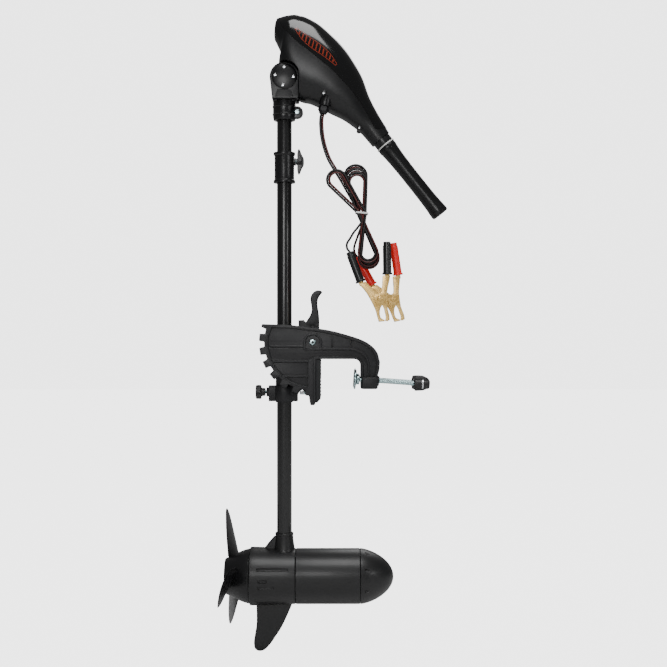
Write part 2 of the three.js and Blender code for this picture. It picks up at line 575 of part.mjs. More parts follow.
function headParts() {
  const outer = loft(HEAD_RIBS.map((rib) => headRing(rib, 0)));
  const hollow = loft(HEAD_RIBS.slice(1).map((rib) => headRing(rib, 3.2)));
  const above = slab([...SEAM, [160, 440], [160, 700], [-100, 700], [-100, 630]], -80, 80);
  const forkRoom = join(
    discAt(PIVOT.x, PIVOT.z, 26.4, -60, -PIVOT.lug, 24),
    discAt(PIVOT.x, PIVOT.z, 26.4, PIVOT.lug, 60, 24),
    box([-100, -37.6], symmetric(60), [440, 499.8]),
    box([-110, PIVOT.x], symmetric(60), [440, 522]).subtract(
      box([-120, 0], symmetric(PIVOT.lug), [400, 600])),
    box([PIVOT.x, -37.6], symmetric(60), [440, 516.4]).subtract(
      box([-120, 0], symmetric(PIVOT.lug), [400, 600])),
  );
  const lug = join(
    discAt(PIVOT.x, PIVOT.z, PIVOT.lugRadius, -PIVOT.lug, PIVOT.lug, 24),
    slab([[-78, 530], [-68, 558], [-44, 562], [-36, 530], [-41.5, 515], [-80, 515]], -PIVOT.lug, PIVOT.lug),
  );
  const collar = bar(tillerAt(-30), tillerAt(-7.5), 16.2, 28);
  const glandBoss = bar(at(GLAND.x, GLAND.y, GLAND.z), at(GLAND.x + 4, GLAND.y, GLAND.z + 16), 10.5, 20);
  const tillerBore = bar(tillerAt(-170), tillerAt(0), 11.5, 24);
  const shell = cut(outer, hollow);
  const lower = cut(
    join(shell.subtract(above).subtract(forkRoom), lug, collar, glandBoss.subtract(hollow)),
    tillerBore,
    discAt(PIVOT.x, PIVOT.z, 4.3, -40, 40, 16),
    box([-90, -37.6], symmetric(60), [440, 499.8]),
    bar(at(GLAND.x, GLAND.y, GLAND.z - 2), at(GLAND.x + 5, GLAND.y, GLAND.z + 20), 4.6, 12),
    bar(at(GLAND.x - 2.5, GLAND.y, GLAND.z - 10), at(GLAND.x, GLAND.y, GLAND.z), 10.6, 20),
  );
  const lift = above.translate([0.2, 0, 0.3]);
  const upper = cut(shell.intersect(lift), tillerBore, forkRoom, collar.scale(1), lug);
  return { lower, upper };
}

const largest = (solid) => solid.decompose().sort((a, b) => b.volume() - a.volume())[0];
const { lower: headLower, upper: headUpper } = headParts();
piece('head_lower_housing', largest(headLower), MATTE);
piece('head_top_cover', largest(headUpper), GLOSS);
piece('speed_switch', bar(tillerAt(-206), tillerAt(-162), 19, 20), MATTE);
piece('cable_gland', join(
  bar(at(GLAND.x - 2.3, GLAND.y, GLAND.z - 9.2), at(GLAND.x - 0.08, GLAND.y, GLAND.z - GAP), 9.6, 6),
  bar(at(GLAND.x - 3.4, GLAND.y, GLAND.z - 13.6), at(GLAND.x - 2.2, GLAND.y, GLAND.z - 8.8), 6.4, 12, 7.6),
), NYLON);

// ---- tiller ----
piece('tiller_ring', turned(tubeProfile(17.4, 11.6, -7.1, -5), at(TILLER.x, 0, TILLER.z), TILLER.along, 32), ACETAL);
piece('tiller_tube', turned(tubeProfile(11, 8.5, -150, 118), at(TILLER.x, 0, TILLER.z), TILLER.along, 28), STEEL);
piece('twist_grip', turned([[11.4, -4.6], [16.4, -4.6], [16.6, 4], [15.4, 20], [14.6, 50], [14.4, 90],
  [14.5, 120], [15.4, 132], [14.8, 140], [12, 145.5], [7, 148.3], [0, 149], [0, 118.4], [11.4, 118.4]],
at(TILLER.x, 0, TILLER.z), TILLER.along, 20), RUBBER);

// ---- battery lead ----
const DROP_ROUTE = [[2.3, -22, 456.3], [0.9, -22.4, 450], [1.2, -25.5, 439], [2.4, -31, 425], [5.4, -38, 408],
  [10, -45.5, 391], [15.2, -53, 377], [20.6, -60.5, 364.5], [23.6, -64.5, 357.5]];
const BLACK_ROUTE = [[55.6, -73.8, 268], [52.2, -77.5, 254], [47.2, -83, 240], [44, -88, 229],
  [44.4, -91, 220.6], [47.7, -91.5, 215.9]];
const RED_ROUTE = [[62.5, -59.2, 267], [60.5, -59, 252], [57.5, -57.6, 238], [55.4, -55.6, 225],
  [57.4, -53.4, 215.6], [61, -53, 210.2]];

const HANK_OUTLINE = [[78.2, 287], [79.6, 304], [80.2, 330], [75, 354], [60, 364.5], [46, 358], [34, 352],
  [19, 351.5], [8.5, 342], [11, 328], [28, 311], [46, 296], [59.2, 285.5], [59.4, 275], [61.2, 250],
  [62.5, 214], [68.5, 194], [82, 185], [95, 194], [100.4, 214], [95, 242], [84, 266], [78.6, 275.5]];

piece('cable_drop', cordTube(DROP_ROUTE, 2 * CORE - 0.1, 10, 16), CABLE);
function makeHank() {
  const curve = new THREE.CatmullRomCurve3(HANK_OUTLINE.map(([x, z]) => at(x, z, 0)), true, 'centripetal');
  const outline = curve.getPoints(60).slice(0, -1).map((point) => [point.x, point.y]);
  return cut(slab(outline, HANK.near, HANK.far), cut(
    box([50, 90], [HANK.near - 5, HANK.far + 5], symmetric(2.6).map((z) => HANK.tie + z)),
    box([60.5, 77], [HANK.near + 1.5, HANK.far - 1.5], symmetric(4).map((z) => HANK.tie + z)),
  ));
}
piece('cable_hank', makeHank(), CABLE);
piece('cable_tie', cut(
  box([57.6, 79.9], [HANK.near - 1, HANK.far + 1], symmetric(2.2).map((z) => HANK.tie + z)),
  box([60.2, 77.3], [HANK.near + 1.2, HANK.far - 1.2], symmetric(4).map((z) => HANK.tie + z)),
), TIE);
piece('lead_black', cordTube(BLACK_ROUTE, CORE - 0.05, 8, 14), CABLE);
piece('lead_red', cordTube(RED_ROUTE, CORE - 0.05, 8, 14), CABLE);

// ---- battery clips ----
// Handles are given from their outer end to their inner end, as x and z. Lean turns both jaws about the rivet.
const CLIPS = [
  {
    name: 'clip_black', y: -91.5, sleeve: BLACK_SLEEVE, pivot: [98.9, 136.2], lean: 0,
    fixed: [[48.6, 213.7], [67.4, 163.5]], moving: [[110.8, 230.7], [111.5, 176.2]],
  },
  {
    name: 'clip_red', y: -53, sleeve: RED_SLEEVE, pivot: [122.4, 136.2], lean: 7,
    fixed: [[62.2, 207.7], [88.3, 160.2]], moving: [[123.4, 231.8], [131.6, 177.1]],
  },
];
// Outlines of the two pressed jaws about their rivet.
const JAW = {
  fixed: [[-34.7, 24], [-21.4, 8.4], [-16, -0.8], [-8, -16.8], [-4.1, -30.1], [-1.5, -39.4], [8.4, -38],
    [8.4, -35.6], [1.9, -33.4], [-0.5, -26], [-0.1, -18.5], [2.9, -12.5], [8.2, -6], [9.6, 0], [7.2, 6.2],
    [1.2, 9.2], [-2.9, 8.2], [-10.9, 15.8], [-24.3, 28.2]],
  moving: [[4.9, 38.2], [17.5, 38.2], [13.9, 20.4], [12, 5.8], [12.5, -14.1], [15.9, -27.4], [16.5, -36.8],
    [9.2, -38.2], [9.2, -35.8], [10.4, -32], [8.2, -24], [7.3, -17.2], [4.7, -11.4], [-0.9, -8.4], [-6, -5.6],
    [-8, 0.4], [-5, 6], [0.2, 8], [3.6, 13.4]],
  slot: [[-1.6, -14], [4, -22], [30, -22], [30, 30], [0.6, 30], [-2, 10]],
};

function clipSleeve(handle, y) {
  const [outer, inner] = handle.map(([x, z]) => at(x, y, z));
  const along = inner.clone().sub(outer);
  const length = along.length();
  return turned([[4.4, 0], [5.6, 0], [6.1, 1.5], [6.1, 5], [6.9, 6], [7, length - 2.4], [8.6, length - 2.2],
    [8.6, length], [4.4, length]], outer, along.normalize(), 12);
}

function clipArm([outer, inner], pivot, y, lean, fixed) {
  const half = fixed ? 6 : 4.3;
  const turn = radians(lean);
  const placed = (outline) => outline.map(([x, z]) => [
    pivot[0] + x * Math.cos(turn) - z * Math.sin(turn), pivot[1] + x * Math.sin(turn) + z * Math.cos(turn)]);
  const start = at(outer[0], y, outer[1]).lerp(at(inner[0], y, inner[1]), 0.25);
  const end = at(outer[0], y, outer[1]).lerp(at(inner[0], y, inner[1]), 1.11);
  const jaw = slab(placed(fixed ? JAW.fixed : JAW.moving), y - half, y + half);
  const shank = bar(start, end, 4, 10);
  if (!fixed) return join(jaw, shank).subtract(discAt(pivot[0], pivot[1], 2.3, y - 10, y + 10, 12));
  const slot = join(
    discAt(pivot[0], pivot[1], 9.6, y - 4.6, y + 4.6, 24),
    slab(placed(JAW.slot), y - 4.6, y + 4.6),
  );
  return join(jaw.subtract(slot), shank, discAt(pivot[0], pivot[1], 2, y - 6, y + 6, 12));
}

for (const { name, y, sleeve, pivot, lean, fixed, moving } of CLIPS) {
  piece(`${name}_fixed_arm`, clipArm(fixed, pivot, y, lean, true), BRASS);
  piece(`${name}_moving_arm`, clipArm(moving, pivot, y, lean, false), BRASS);
  piece(`${name}_fixed_sleeve`, clipSleeve(fixed, y), sleeve);
  piece(`${name}_moving_sleeve`, clipSleeve(moving, y), sleeve);
}

export default motor;
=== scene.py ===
# Finished looks of a transom-mount electric trolling motor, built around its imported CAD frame.
# Sizes are written in millimetres and turned into metres where each mesh is made.
import math
import bmesh
import bpy
from mathutils import Matrix, Vector


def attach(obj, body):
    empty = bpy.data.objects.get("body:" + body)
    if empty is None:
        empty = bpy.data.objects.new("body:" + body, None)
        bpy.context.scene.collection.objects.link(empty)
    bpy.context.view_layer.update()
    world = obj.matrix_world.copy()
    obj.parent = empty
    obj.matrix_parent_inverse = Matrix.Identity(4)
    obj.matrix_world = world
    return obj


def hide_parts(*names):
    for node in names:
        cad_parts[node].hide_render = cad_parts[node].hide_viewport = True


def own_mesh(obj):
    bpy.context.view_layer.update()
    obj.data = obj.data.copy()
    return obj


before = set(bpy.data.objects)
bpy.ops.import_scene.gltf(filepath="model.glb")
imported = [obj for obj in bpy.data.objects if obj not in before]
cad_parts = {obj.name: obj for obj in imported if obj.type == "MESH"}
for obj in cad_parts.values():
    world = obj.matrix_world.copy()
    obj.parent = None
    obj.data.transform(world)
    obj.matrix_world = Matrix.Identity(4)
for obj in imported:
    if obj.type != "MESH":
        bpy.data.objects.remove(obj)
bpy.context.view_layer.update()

MM = 0.001
scene = bpy.context.scene


# ---------------------------------------------------------------- camera
lens = bpy.data.cameras.new("view")
lens.lens = 59.4
lens.sensor_width = 36
camera = bpy.data.objects.new("view", lens)
camera.location = (0.0219, -1.925, 0.0779)
camera.rotation_euler = (math.radians(90), 0, 0)
scene.collection.objects.link(camera)
scene.camera = camera


# ---------------------------------------------------------------- finishes
def srgb(code):
    """A hex sRGB colour as the linear numbers a shader takes."""
    parts = [int(code[i:i + 2], 16) / 255 for i in (1, 3, 5)]
    return [p / 12.92 if p <= 0.04045 else ((p + 0.055) / 1.055) ** 2.4 for p in parts] + [1]


def add(tree, kind, links=None, **settings):
    """Adds a shader node: settings are its properties or its sockets' constants, links its incoming wires."""
    node = tree.nodes.new(kind)
    for key, value in settings.items():
        if hasattr(node, key):
            setattr(node, key, value)
        else:
            node.inputs[key.replace("_", " ")].default_value = value
    for socket, source in (links or {}).items():
        tree.links.new(source, node.inputs[socket])
    return node


def finish(name, base, worn, rough, spread=0.08, metal=0.0, coat=0.0, grain=900, bump=0.05, wave=9, ior=1.5,
        stripes=None):
    """A procedural finish: two close colours mixed by slow noise, a slowly varying roughness, grain in the
    bump.

    Wave and grain are features in a metre. The real grain is finer than this, and is drawn as coarse as shows.
    """
    material = bpy.data.materials.new(name)
    material.use_nodes = True
    tree = material.node_tree
    shader = tree.nodes["Principled BSDF"]
    place = add(tree, "ShaderNodeTexCoord").outputs["Object"]
    slow = add(tree, "ShaderNodeTexNoise", {"Vector": place}, Scale=wave, Detail=4.0)
    fine = add(tree, "ShaderNodeTexNoise", {"Vector": place}, Scale=grain, Detail=1.0)
    mix = add(tree, "ShaderNodeMix", {"Factor": slow.outputs["Fac"]}, data_type="RGBA")
    mix.inputs["A"].default_value = srgb(base)
    mix.inputs["B"].default_value = srgb(worn)
    tree.links.new(mix.outputs["Result"], shader.inputs["Base Color"])
    level = add(tree, "ShaderNodeMapRange", {"Value": slow.outputs["Fac"]})
    level.inputs["From Min"].default_value = 0.3
    level.inputs["From Max"].default_value = 0.7
    level.inputs["To Min"].default_value = max(0.02, rough - spread)
    level.inputs["To Max"].default_value = rough + spread
    tree.links.new(level.outputs["Result"], shader.inputs["Roughness"])
    relief = add(tree, "ShaderNodeBump", {"Height": fine.outputs["Fac"]}, Strength=bump, Distance=0.00008)
    tree.links.new(relief.outputs["Normal"], shader.inputs["Normal"])
    shader.inputs["Metallic"].default_value = metal
    shader.inputs["IOR"].default_value = ior
    shader.inputs["Coat Weight"].default_value = coat
    shader.inputs["Coat Roughness"].default_value = 0.06
    if stripes:
        stripes(tree, place, mix, shader)
    return material


def printed_mark(tree, place, mix, shader):
    """A generic mark printed on the cover's sides: slanted bars inside a leaf-shaped edge, with no
    lettering.
    """
    centre, tilt = (-0.0083, 0, 0.5705), math.radians(43)
    bars_per_metre, bar_share, bar_lean = 130.0, 0.3, 0.55
    leaf_half_height, leaf_taper, half_length = 0.0058, 2.5, 0.048
    edge_gap, edge_half_width = 0.0012, 0.00045
    bend_height, bends_per_metre = 0.0022, 60.0
    axis = add(tree, "ShaderNodeMapping", {"Vector": place}, vector_type="TEXTURE")
    axis.inputs["Location"].default_value = centre
    axis.inputs["Rotation"].default_value = (0, tilt, 0)
    part = add(tree, "ShaderNodeSeparateXYZ", {"Vector": axis.outputs["Vector"]})
    along, across = part.outputs["X"], part.outputs["Z"]

    def calc(operation, *values):
        node = tree.nodes.new("ShaderNodeMath")
        node.operation = operation
        for n, value in enumerate(values):
            if isinstance(value, (int, float)):
                node.inputs[n].default_value = value
            else:
                tree.links.new(value, node.inputs[n])
        return node.outputs["Value"]

    slant = calc("MULTIPLY_ADD", across, bar_lean, along)
    bars = calc("LESS_THAN", calc("FRACT", calc("MULTIPLY", slant, bars_per_metre)), bar_share)
    bend = calc("MULTIPLY", calc("SINE", calc("MULTIPLY", along, bends_per_metre)), bend_height)
    offset = calc("ABSOLUTE", calc("SUBTRACT", across, bend))
    reach = calc("ABSOLUTE", along)
    leaf = calc("SUBTRACT", leaf_half_height, calc("MULTIPLY", calc("MULTIPLY", reach, reach), leaf_taper))
    inside = calc("LESS_THAN", offset, leaf)
    edge_offset = calc("SUBTRACT", offset, calc("ADD", leaf, edge_gap))
    line = calc("LESS_THAN", calc("ABSOLUTE", edge_offset), edge_half_width)
    edge = calc("MULTIPLY", line, calc("LESS_THAN", reach, half_length))
    mask = calc("MAXIMUM", calc("MULTIPLY", bars, inside), edge)
    paint = add(tree, "ShaderNodeMix", {"Factor": mask}, data_type="RGBA")
    tree.links.new(mix.outputs["Result"], paint.inputs["A"])
    paint.inputs["B"].default_value = srgb("#8a2f1c")
    tree.links.new(paint.outputs["Result"], shader.inputs["Base Color"])


FINISH = {
    # glass-filled nylon of the bracket: charcoal, a fine moulded grain that scatters the light
    "nylon": finish("glass-filled nylon", "#121214", "#1a1a1d", 0.46, bump=0.06, grain=1100, ior=1.42),
    # gloss ABS head cover: crisp highlights, with the printed mark
    "gloss": finish("gloss black ABS", "#050506", "#080809", 0.14, 0.03, coat=0.15, bump=0.008,
        stripes=printed_mark),
    # spark-eroded ABS of head housing, yoke and collar: a softer highlight
    "matte": finish("textured black ABS", "#08080a", "#0f0f11", 0.32, 0.04, bump=0.02, grain=1500, ior=1.45),
    # satin epoxy paint on the aluminium motor pod
    "paint": finish("satin black epoxy paint", "#070708", "#0c0c0e", 0.42, 0.04, coat=0.05, bump=0.02,
        grain=1000),
    # pultruded glass-fibre composite mast, ground smooth
    "composite": finish("black composite tube", "#060607", "#0b0b0c", 0.3, 0.03, coat=0.15, bump=0.01,
        grain=500),
    # soft rubber of the grip
    "rubber": finish("matte black rubber", "#070708", "#0d0d0e", 0.3, bump=0.015, grain=1000, ior=1.42),
    # grey rubber pad strip of the jaw
    "pad": finish("grey pad rubber", "#17181a", "#212224", 0.6, bump=0.1, grain=1200, ior=1.4),
    # blue-bright zinc plated steel: cold blue tint, slightly cloudy
    "zinc": finish("blue zinc plate", "#8fb6ba", "#cfe0e2", 0.24, 0.08, metal=1.0, bump=0.04, grain=500,
        wave=60),
    # turned stainless steel
    "steel": finish("stainless steel", "#b9bbbd", "#d9dbdd", 0.22, 0.08, metal=1.0, bump=0.03, grain=600,
        wave=30),
    # drawn aluminium tube
    "tube": finish("drawn aluminium", "#c9cbcd", "#dcdee0", 0.24, 0.06, metal=1.0, bump=0.03, grain=700,
        wave=30),
    # white acetal ring and bushing
    "acetal": finish("white acetal", "#cfcfcb", "#e4e4e1", 0.38, bump=0.03),
    # brass-plated pressed steel jaws: yellow plate with duller patches from handling
    "brass": finish("pale brass plate", "#dba94c", "#f3d48c", 0.3, 0.1, metal=0.45, bump=0.05, grain=350,
        wave=70),
    # copper windings and iron core
    "copper": finish("enamelled copper", "#8f4a24", "#b9693a", 0.35, metal=1.0, bump=0.3, grain=1600),
    # ferrite magnet
    "ceramic": finish("ferrite ceramic", "#2b2c2f", "#37383b", 0.7, bump=0.2),
    # soft vinyl clip sleeves: a waxy look
    "black_sleeve": finish("black vinyl sleeve", "#0a0b0b", "#141615", 0.34, bump=0.04, grain=800, wave=30),
    "red_sleeve": finish("red vinyl sleeve", "#d80c08", "#ea1c14", 0.42, bump=0.04, grain=800, wave=30),
    # twin lead of soft vinyl: a black core, a dark red one and the tracer printed along it
    "core": finish("black vinyl core", "#060506", "#0d0a0b", 0.52, bump=0.03, grain=900, wave=40),
    "red_core": finish("dark red vinyl core", "#1c0606", "#2c0b0a", 0.52, bump=0.03, grain=900, wave=40),
    "stripe": finish("red tracer stripe", "#6e1d1a", "#822722", 0.4, bump=0.02),
    # plastic-coated twist tie
    "tie": finish("white coated tie", "#dcdcdb", "#efefee", 0.35, bump=0.06),
    # painted shade: a near-black finish for the insides of drive recesses and saw cuts, where shade falls
    "recess": finish("painted recess shade", "#050506", "#090909", 0.6, bump=0.0),
}


# ---------------------------------------------------------------- making meshes
def keep(obj, finish_name=None, sharp=32):
    """Smooth-shades a mesh with sharp edges kept, and gives it its finish."""
    mesh = obj.data
    mesh.shade_smooth()
    mesh.set_sharp_from_angle(angle=math.radians(sharp))
    if finish_name:
        mesh.materials.clear()
        mesh.materials.append(FINISH[finish_name])
    return obj


def merged(mesh):
    """Joins a mesh's doubled points and turns its faces outwards."""
    work = bmesh.new()
    work.from_mesh(mesh)
    bmesh.ops.remove_doubles(work, verts=work.verts, dist=1e-7)
    bmesh.ops.recalc_face_normals(work, faces=work.faces)
    work.to_mesh(mesh)
    work.free()


def solid(name, points, faces, finish_name, sharp=32):
    """A closed piece from points in millimetres."""
    mesh = bpy.data.meshes.new(name)
    mesh.from_pydata([Vector(p) * MM for p in points], [], faces)
    merged(mesh)
    obj = bpy.data.objects.new(name, mesh)
    scene.collection.objects.link(obj)
    return keep(obj, finish_name, sharp)


def applied(obj):
    """The object with its modifiers and its place made part of its mesh."""
    bpy.context.view_layer.update()
    graph = bpy.context.evaluated_depsgraph_get()
    mesh = bpy.data.meshes.new_from_object(obj.evaluated_get(graph))
    mesh.transform(obj.matrix_world)
    materials = [m for m in obj.data.materials]
    name = obj.name
    fresh = bpy.data.objects.new(name, mesh)
    bpy.data.objects.remove(obj)
    fresh.name = name
    scene.collection.objects.link(fresh)
    if not mesh.materials:
        for material in materials:
            mesh.materials.append(material)
    return fresh


def carve(obj, cutters, operation="DIFFERENCE"):
    """Cuts other pieces out of a piece, or keeps only what they share with it."""
    for cutter in cutters:
        step = obj.modifiers.new("carve", "BOOLEAN")
        step.operation = operation
        step.solver = "EXACT"
        step.object = cutter
    fresh = applied(obj)
    for cutter in cutters:
        bpy.data.objects.remove(cutter)
    return keep(fresh)


def soften(obj, width, segments=2, angle=35):
    """Rounds a piece's sharp edges."""
    step = obj.modifiers.new("edge", "BEVEL")
    step.width = width * MM
    step.segments = segments
    step.limit_method = "ANGLE"
    step.angle_limit = math.radians(angle)
    step.harden_normals = False
    return keep(applied(obj), sharp=40)


def joined(name, *objs):
    """One object of several meshes, materials kept."""
    mesh = bpy.data.meshes.new(name)
    work = bmesh.new()
    materials = []
    for obj in objs:
        start = len(work.faces)
        work.from_mesh(obj.data)
        work.faces.ensure_lookup_table()
        own = list(obj.data.materials)
        for face in work.faces[start:]:
            material = own[face.material_index] if own else None
            if material not in materials:
                materials.append(material)
            face.material_index = materials.index(material)
    work.to_mesh(mesh)
    work.free()
    for material in materials:
        mesh.materials.append(material)
    for obj in objs:
        bpy.data.objects.remove(obj)
    fresh = bpy.data.objects.new(name, mesh)
    scene.collection.objects.link(fresh)
    return keep(fresh)


def rounded(points, radius, closed=False, steps=3):
    """A polyline whose corners are replaced by small arcs."""
    made = []
    count = len(points)
    for n, point in enumerate(points):
        p = Vector(point)
        if not closed and n in (0, count - 1):
            made.append(tuple(p))
            continue
        a = Vector(points[n - 1]) - p
        b = Vector(points[(n + 1) % count]) - p
        if a.length < 1e-6 or b.length < 1e-6 or a.angle(b) > math.radians(172):
            made.append(tuple(p))
            continue
        cut = min(radius, a.length * 0.45, b.length * 0.45)
        start, end = p + a.normalized() * cut, p + b.normalized() * cut
        for k in range(steps + 1):
            t = k / steps
            made.append(tuple(start * (1 - t) ** 2 + p * 2 * t * (1 - t) + end * t * t))
    return made


def smooth_line(points, per_span=6, closed=False):
    """Catmull-Rom points through control points of any dimension."""
    pts = [Vector(p) for p in points]
    count = len(pts)
    made = []
    spans = count if closed else count - 1
    for n in range(spans):
        if closed:
            p0, p1, p2, p3 = (pts[(n + k) % count] for k in (-1, 0, 1, 2))
        else:
            p1, p2 = pts[n], pts[n + 1]
            p0 = pts[n - 1] if n else p1 * 2 - p2
            p3 = pts[n + 2] if n + 2 < count else p2 * 2 - p1
        for k in range(per_span):
            t = k / per_span
            made.append(0.5 * (2 * p1 + (p2 - p0) * t + (2 * p0 - 5 * p1 + 4 * p2 - p3) * t * t
                + (3 * p1 - p0 - 3 * p2 + p3) * t ** 3))
    if not closed:
        made.append(pts[-1])
    return made


def frame_along(direction):
    """A direction and two more at right angles to it."""
    along = Vector(direction).normalized()
    side = along.cross(Vector((0, 1, 0)))
    if side.length < 1e-4:
        side = along.cross(Vector((1, 0, 0)))
    side.normalize()
    return along, side, side.cross(along).normalized()


def ring_faces(rows, sides, closed=False, ends=False):
    """Faces between rings of points, row after row; the rows close on themselves, or their ends are closed."""
    faces = []
    for n in range(rows if closed else rows - 1):
        m = (n + 1) % rows
        faces += [(n * sides + k, n * sides + (k + 1) % sides, m * sides + (k + 1) % sides, m * sides + k)
            for k in range(sides)]
    if ends:
        faces += [tuple(range(sides)), tuple((rows - 1) * sides + k for k in range(sides))]
    return faces


def lathe(name, profile, origin, direction, finish_name, segments=72, round_by=0.6, sharp=32, wobble=None):
    """A turned solid. Its profile of (radius, distance) starts and ends on the axis, or closes on itself."""
    ring = profile[0][0] > 1e-6
    line = rounded(profile, round_by, closed=ring) if round_by else list(profile)
    along, side, up = frame_along(direction)
    origin = Vector(origin)
    points = []
    for radius, distance in line:
        for k in range(segments):
            angle = 2 * math.pi * k / segments
            r = radius * (wobble(angle, distance) if wobble and radius > 1e-6 else 1)
            points.append(origin + along * distance + side * (r * math.cos(angle))
                + up * (r * math.sin(angle)))
    return solid(name, points, ring_faces(len(line), segments, closed=ring), finish_name, sharp)


def tube(outer, inner, start, end):
    """The profile of a plain tube."""
    return [(inner, start), (outer, start), (outer, end), (inner, end)]


def rod(name, start, end, radius, finish_name, sides=32, edge=0.4):
    """A round bar between two points."""
    start, end = Vector(start), Vector(end)
    length = (end - start).length
    profile = [(0, 0), (radius, 0), (radius, length), (0, length)]
    return lathe(name, profile, start, end - start, finish_name, sides, edge)


def bolt_head(name, centre, direction, radius, height, finish_name="zinc", sides=6, socket=False):
    """A bolt or screw head standing on a point, hexagonal or round, with a drive recess painted as a
    near-black hexagon of shade.
    """
    centre, direction = Vector(centre), Vector(direction).normalized()
    head = lathe(name, [(0, 0), (radius, 0), (radius, height), (radius * 0.9, height * 1.12),
        (0, height * 1.15)], centre, direction, finish_name, sides if sides > 6 else 6,
        0.15 if sides == 6 else 0.4, sharp=20 if sides == 6 else 32)
    if not socket:
        return head
    # painted shade: a near-black hexagon on the head stands in for the shaded hole of the drive
    dark = rod(name + " drive", centre + direction * height * 0.9, centre
        + direction * (height * 1.15 + 0.06), radius * 0.42, "recess", 6, edge=0)
    return joined(name, head, dark)


def plate(name, outline, near, far, finish_name, edge=1.0, holes=(), steps=3, corner=0.0):
    """An outline in the XZ plane, with holes, made solid between two values of Y with rounded edges."""
    shape = bpy.data.curves.new(name, "CURVE")
    shape.dimensions = "2D"
    shape.fill_mode = "BOTH"
    for loop in [outline, *holes]:
        loop = rounded([(p[0], p[1]) for p in loop], corner, closed=True) if corner else loop
        spline = shape.splines.new("POLY")
        spline.points.add(len(loop) - 1)
        for point, target in zip(loop, spline.points):
            target.co = (point[0] * MM, point[1] * MM, 0, 1)
        spline.use_cyclic_u = True
    edge = min(edge, (far - near) / 2 - 0.05)
    shape.extrude = ((far - near) / 2 - edge) * MM
    shape.bevel_depth = edge * MM
    shape.bevel_resolution = steps
    shape.offset = -edge * MM
    obj = bpy.data.objects.new(name, shape)
    scene.collection.objects.link(obj)
    obj.matrix_world = Matrix.Translation((0, (near + far) / 2 * MM, 0)) @ Matrix.Rotation(math.radians(90),
        4, "X")
    fresh = applied(obj)
    fresh.data.materials.clear()
    merged(fresh.data)
    return keep(fresh, finish_name, 30)


def block(name, x, y, z, finish_name, edge=1.0):
    """A rectangular block from its low and high x, y and z."""
    low, high = Vector((x[0], y[0], z[0])), Vector((x[1], y[1], z[1]))
    points = [(px, py, pz) for px in (low.x, high.x) for py in (low.y, high.y) for pz in (low.z, high.z)]
    faces = [(0, 1, 3, 2), (4, 6, 7, 5), (0, 4, 5, 1), (2, 3, 7, 6), (0, 2, 6, 4), (1, 5, 7, 3)]
    obj = solid(name, points, faces, finish_name)
    return soften(obj, edge, 3) if edge else obj


def on_circle(centre, radius, degrees):
    """A point on a circle in the XZ plane."""
    angle = math.radians(degrees)
    return centre[0] + radius * math.cos(angle), centre[1] + radius * math.sin(angle)


def arc(centre, radius, start, end, steps=12):
    return [on_circle(centre, radius, start + (end - start) * k / steps) for k in range(steps + 1)]


def span(side, near, far):
    """A stretch of Y on one side of the middle plane, its lower end first."""
    return sorted((side * near, side * far))


def line_tube(name, points, radius, finish_name, sides=10):
    """A round tube along a smooth line of points."""
    curve = bpy.data.curves.new(name, "CURVE")
    curve.dimensions = "3D"
    curve.bevel_depth = radius * MM
    curve.bevel_resolution = max(1, sides // 4)
    curve.use_fill_caps = True
    spline = curve.splines.new("POLY")
    spline.use_smooth = True
    spline.points.add(len(points) - 1)
    for point, target in zip(points, spline.points):
        target.co = (*(Vector(point) * MM), 1)
    curve.materials.append(FINISH[finish_name])
    obj = bpy.data.objects.new(name, curve)
    scene.collection.objects.link(obj)
    return obj


def give(obj, body, *nodes, slot=None):
    """Hands a finished piece to its CAD body, in place of the CAD nodes it stands for."""
    obj.name = obj.name.replace(" ", "_")
    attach(obj, body)
    if nodes:
        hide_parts(*nodes)
    return obj


# ---------------------------------------------------------------- battery lead
CORE = 2.0
# the lead from the gland down to the tie
DROP = [
    (2.4, -22, 456.4), (1.0, -22.6, 448.5), (0.9, -25, 436.3), (2.8, -31, 416.2), (7.3, -38, 396.1),
    (14.2, -45, 376.1), (23.6, -52, 358.8), (34.6, -57, 340.2), (44.8, -60, 322.0), (54.0, -62.5, 305.6),
    (61.6, -64, 291.9),
]
TIE_Z = 280.2
BEND_STEPS, LEG_STEPS = 12, 6
FIRST_Y = -63.6
LAYER = 4.3
# the hank hangs from its tie: each layer has one bight below it and one above, as (centre x, centre z, radius)
TIE_DOWN, TIE_UP = (64.8, TIE_Z), (74.0, TIE_Z)
LOWER = [(81.6, 205.0, 14.8), (80.6, 211.0, 14.0), (81.2, 207.6, 14.6), (80.0, 213.4, 14.0)]
UPPER = [(59.4, 343.6, 16.6), (60.8, 338.0, 15.0), (61.4, 332.0, 14.2), (27.2, 335.6, 14.2)]


def bight(start, end, circle, turn):
    """A leg to a round bight, the bend itself and the leg back; turn is -1 for clockwise."""
    centre, radius = Vector(circle[:2]), circle[2]

    def touch(point, side):
        away = Vector(point) - centre
        lean = math.acos(radius / away.length) * side
        return math.atan2(away.y, away.x) + lean

    first, last = touch(start, turn), touch(end, -turn)
    sweep = (last - first) * turn % (2 * math.pi) * turn
    angles = [first + sweep * k / BEND_STEPS for k in range(BEND_STEPS + 1)]
    bend = [centre + radius * Vector((math.cos(angle), math.sin(angle))) for angle in angles]
    out = [Vector(start).lerp(bend[0], k / LEG_STEPS) for k in range(LEG_STEPS)]
    back = [bend[-1].lerp(Vector(end), k / LEG_STEPS) for k in range(1, LEG_STEPS)]
    return [tuple(point) for point in out + bend + back]


def trunk_points():
    """The lead's middle line: the drop from the head, then bights below and above the tie in turn."""
    points = list(DROP)
    for n, (down, up) in enumerate(zip(LOWER, UPPER)):
        y = FIRST_Y - LAYER * n
        below = bight(TIE_DOWN, TIE_UP, down, -1)
        points += [(x, y - LAYER * k / len(below), z) for k, (x, z) in enumerate(below)]
        points += [(x, y - LAYER, z) for x, z in bight(TIE_UP, TIE_DOWN, up, 1)]
    return points + [(TIE_DOWN[0], FIRST_Y - LAYER * len(LOWER), TIE_Z)]


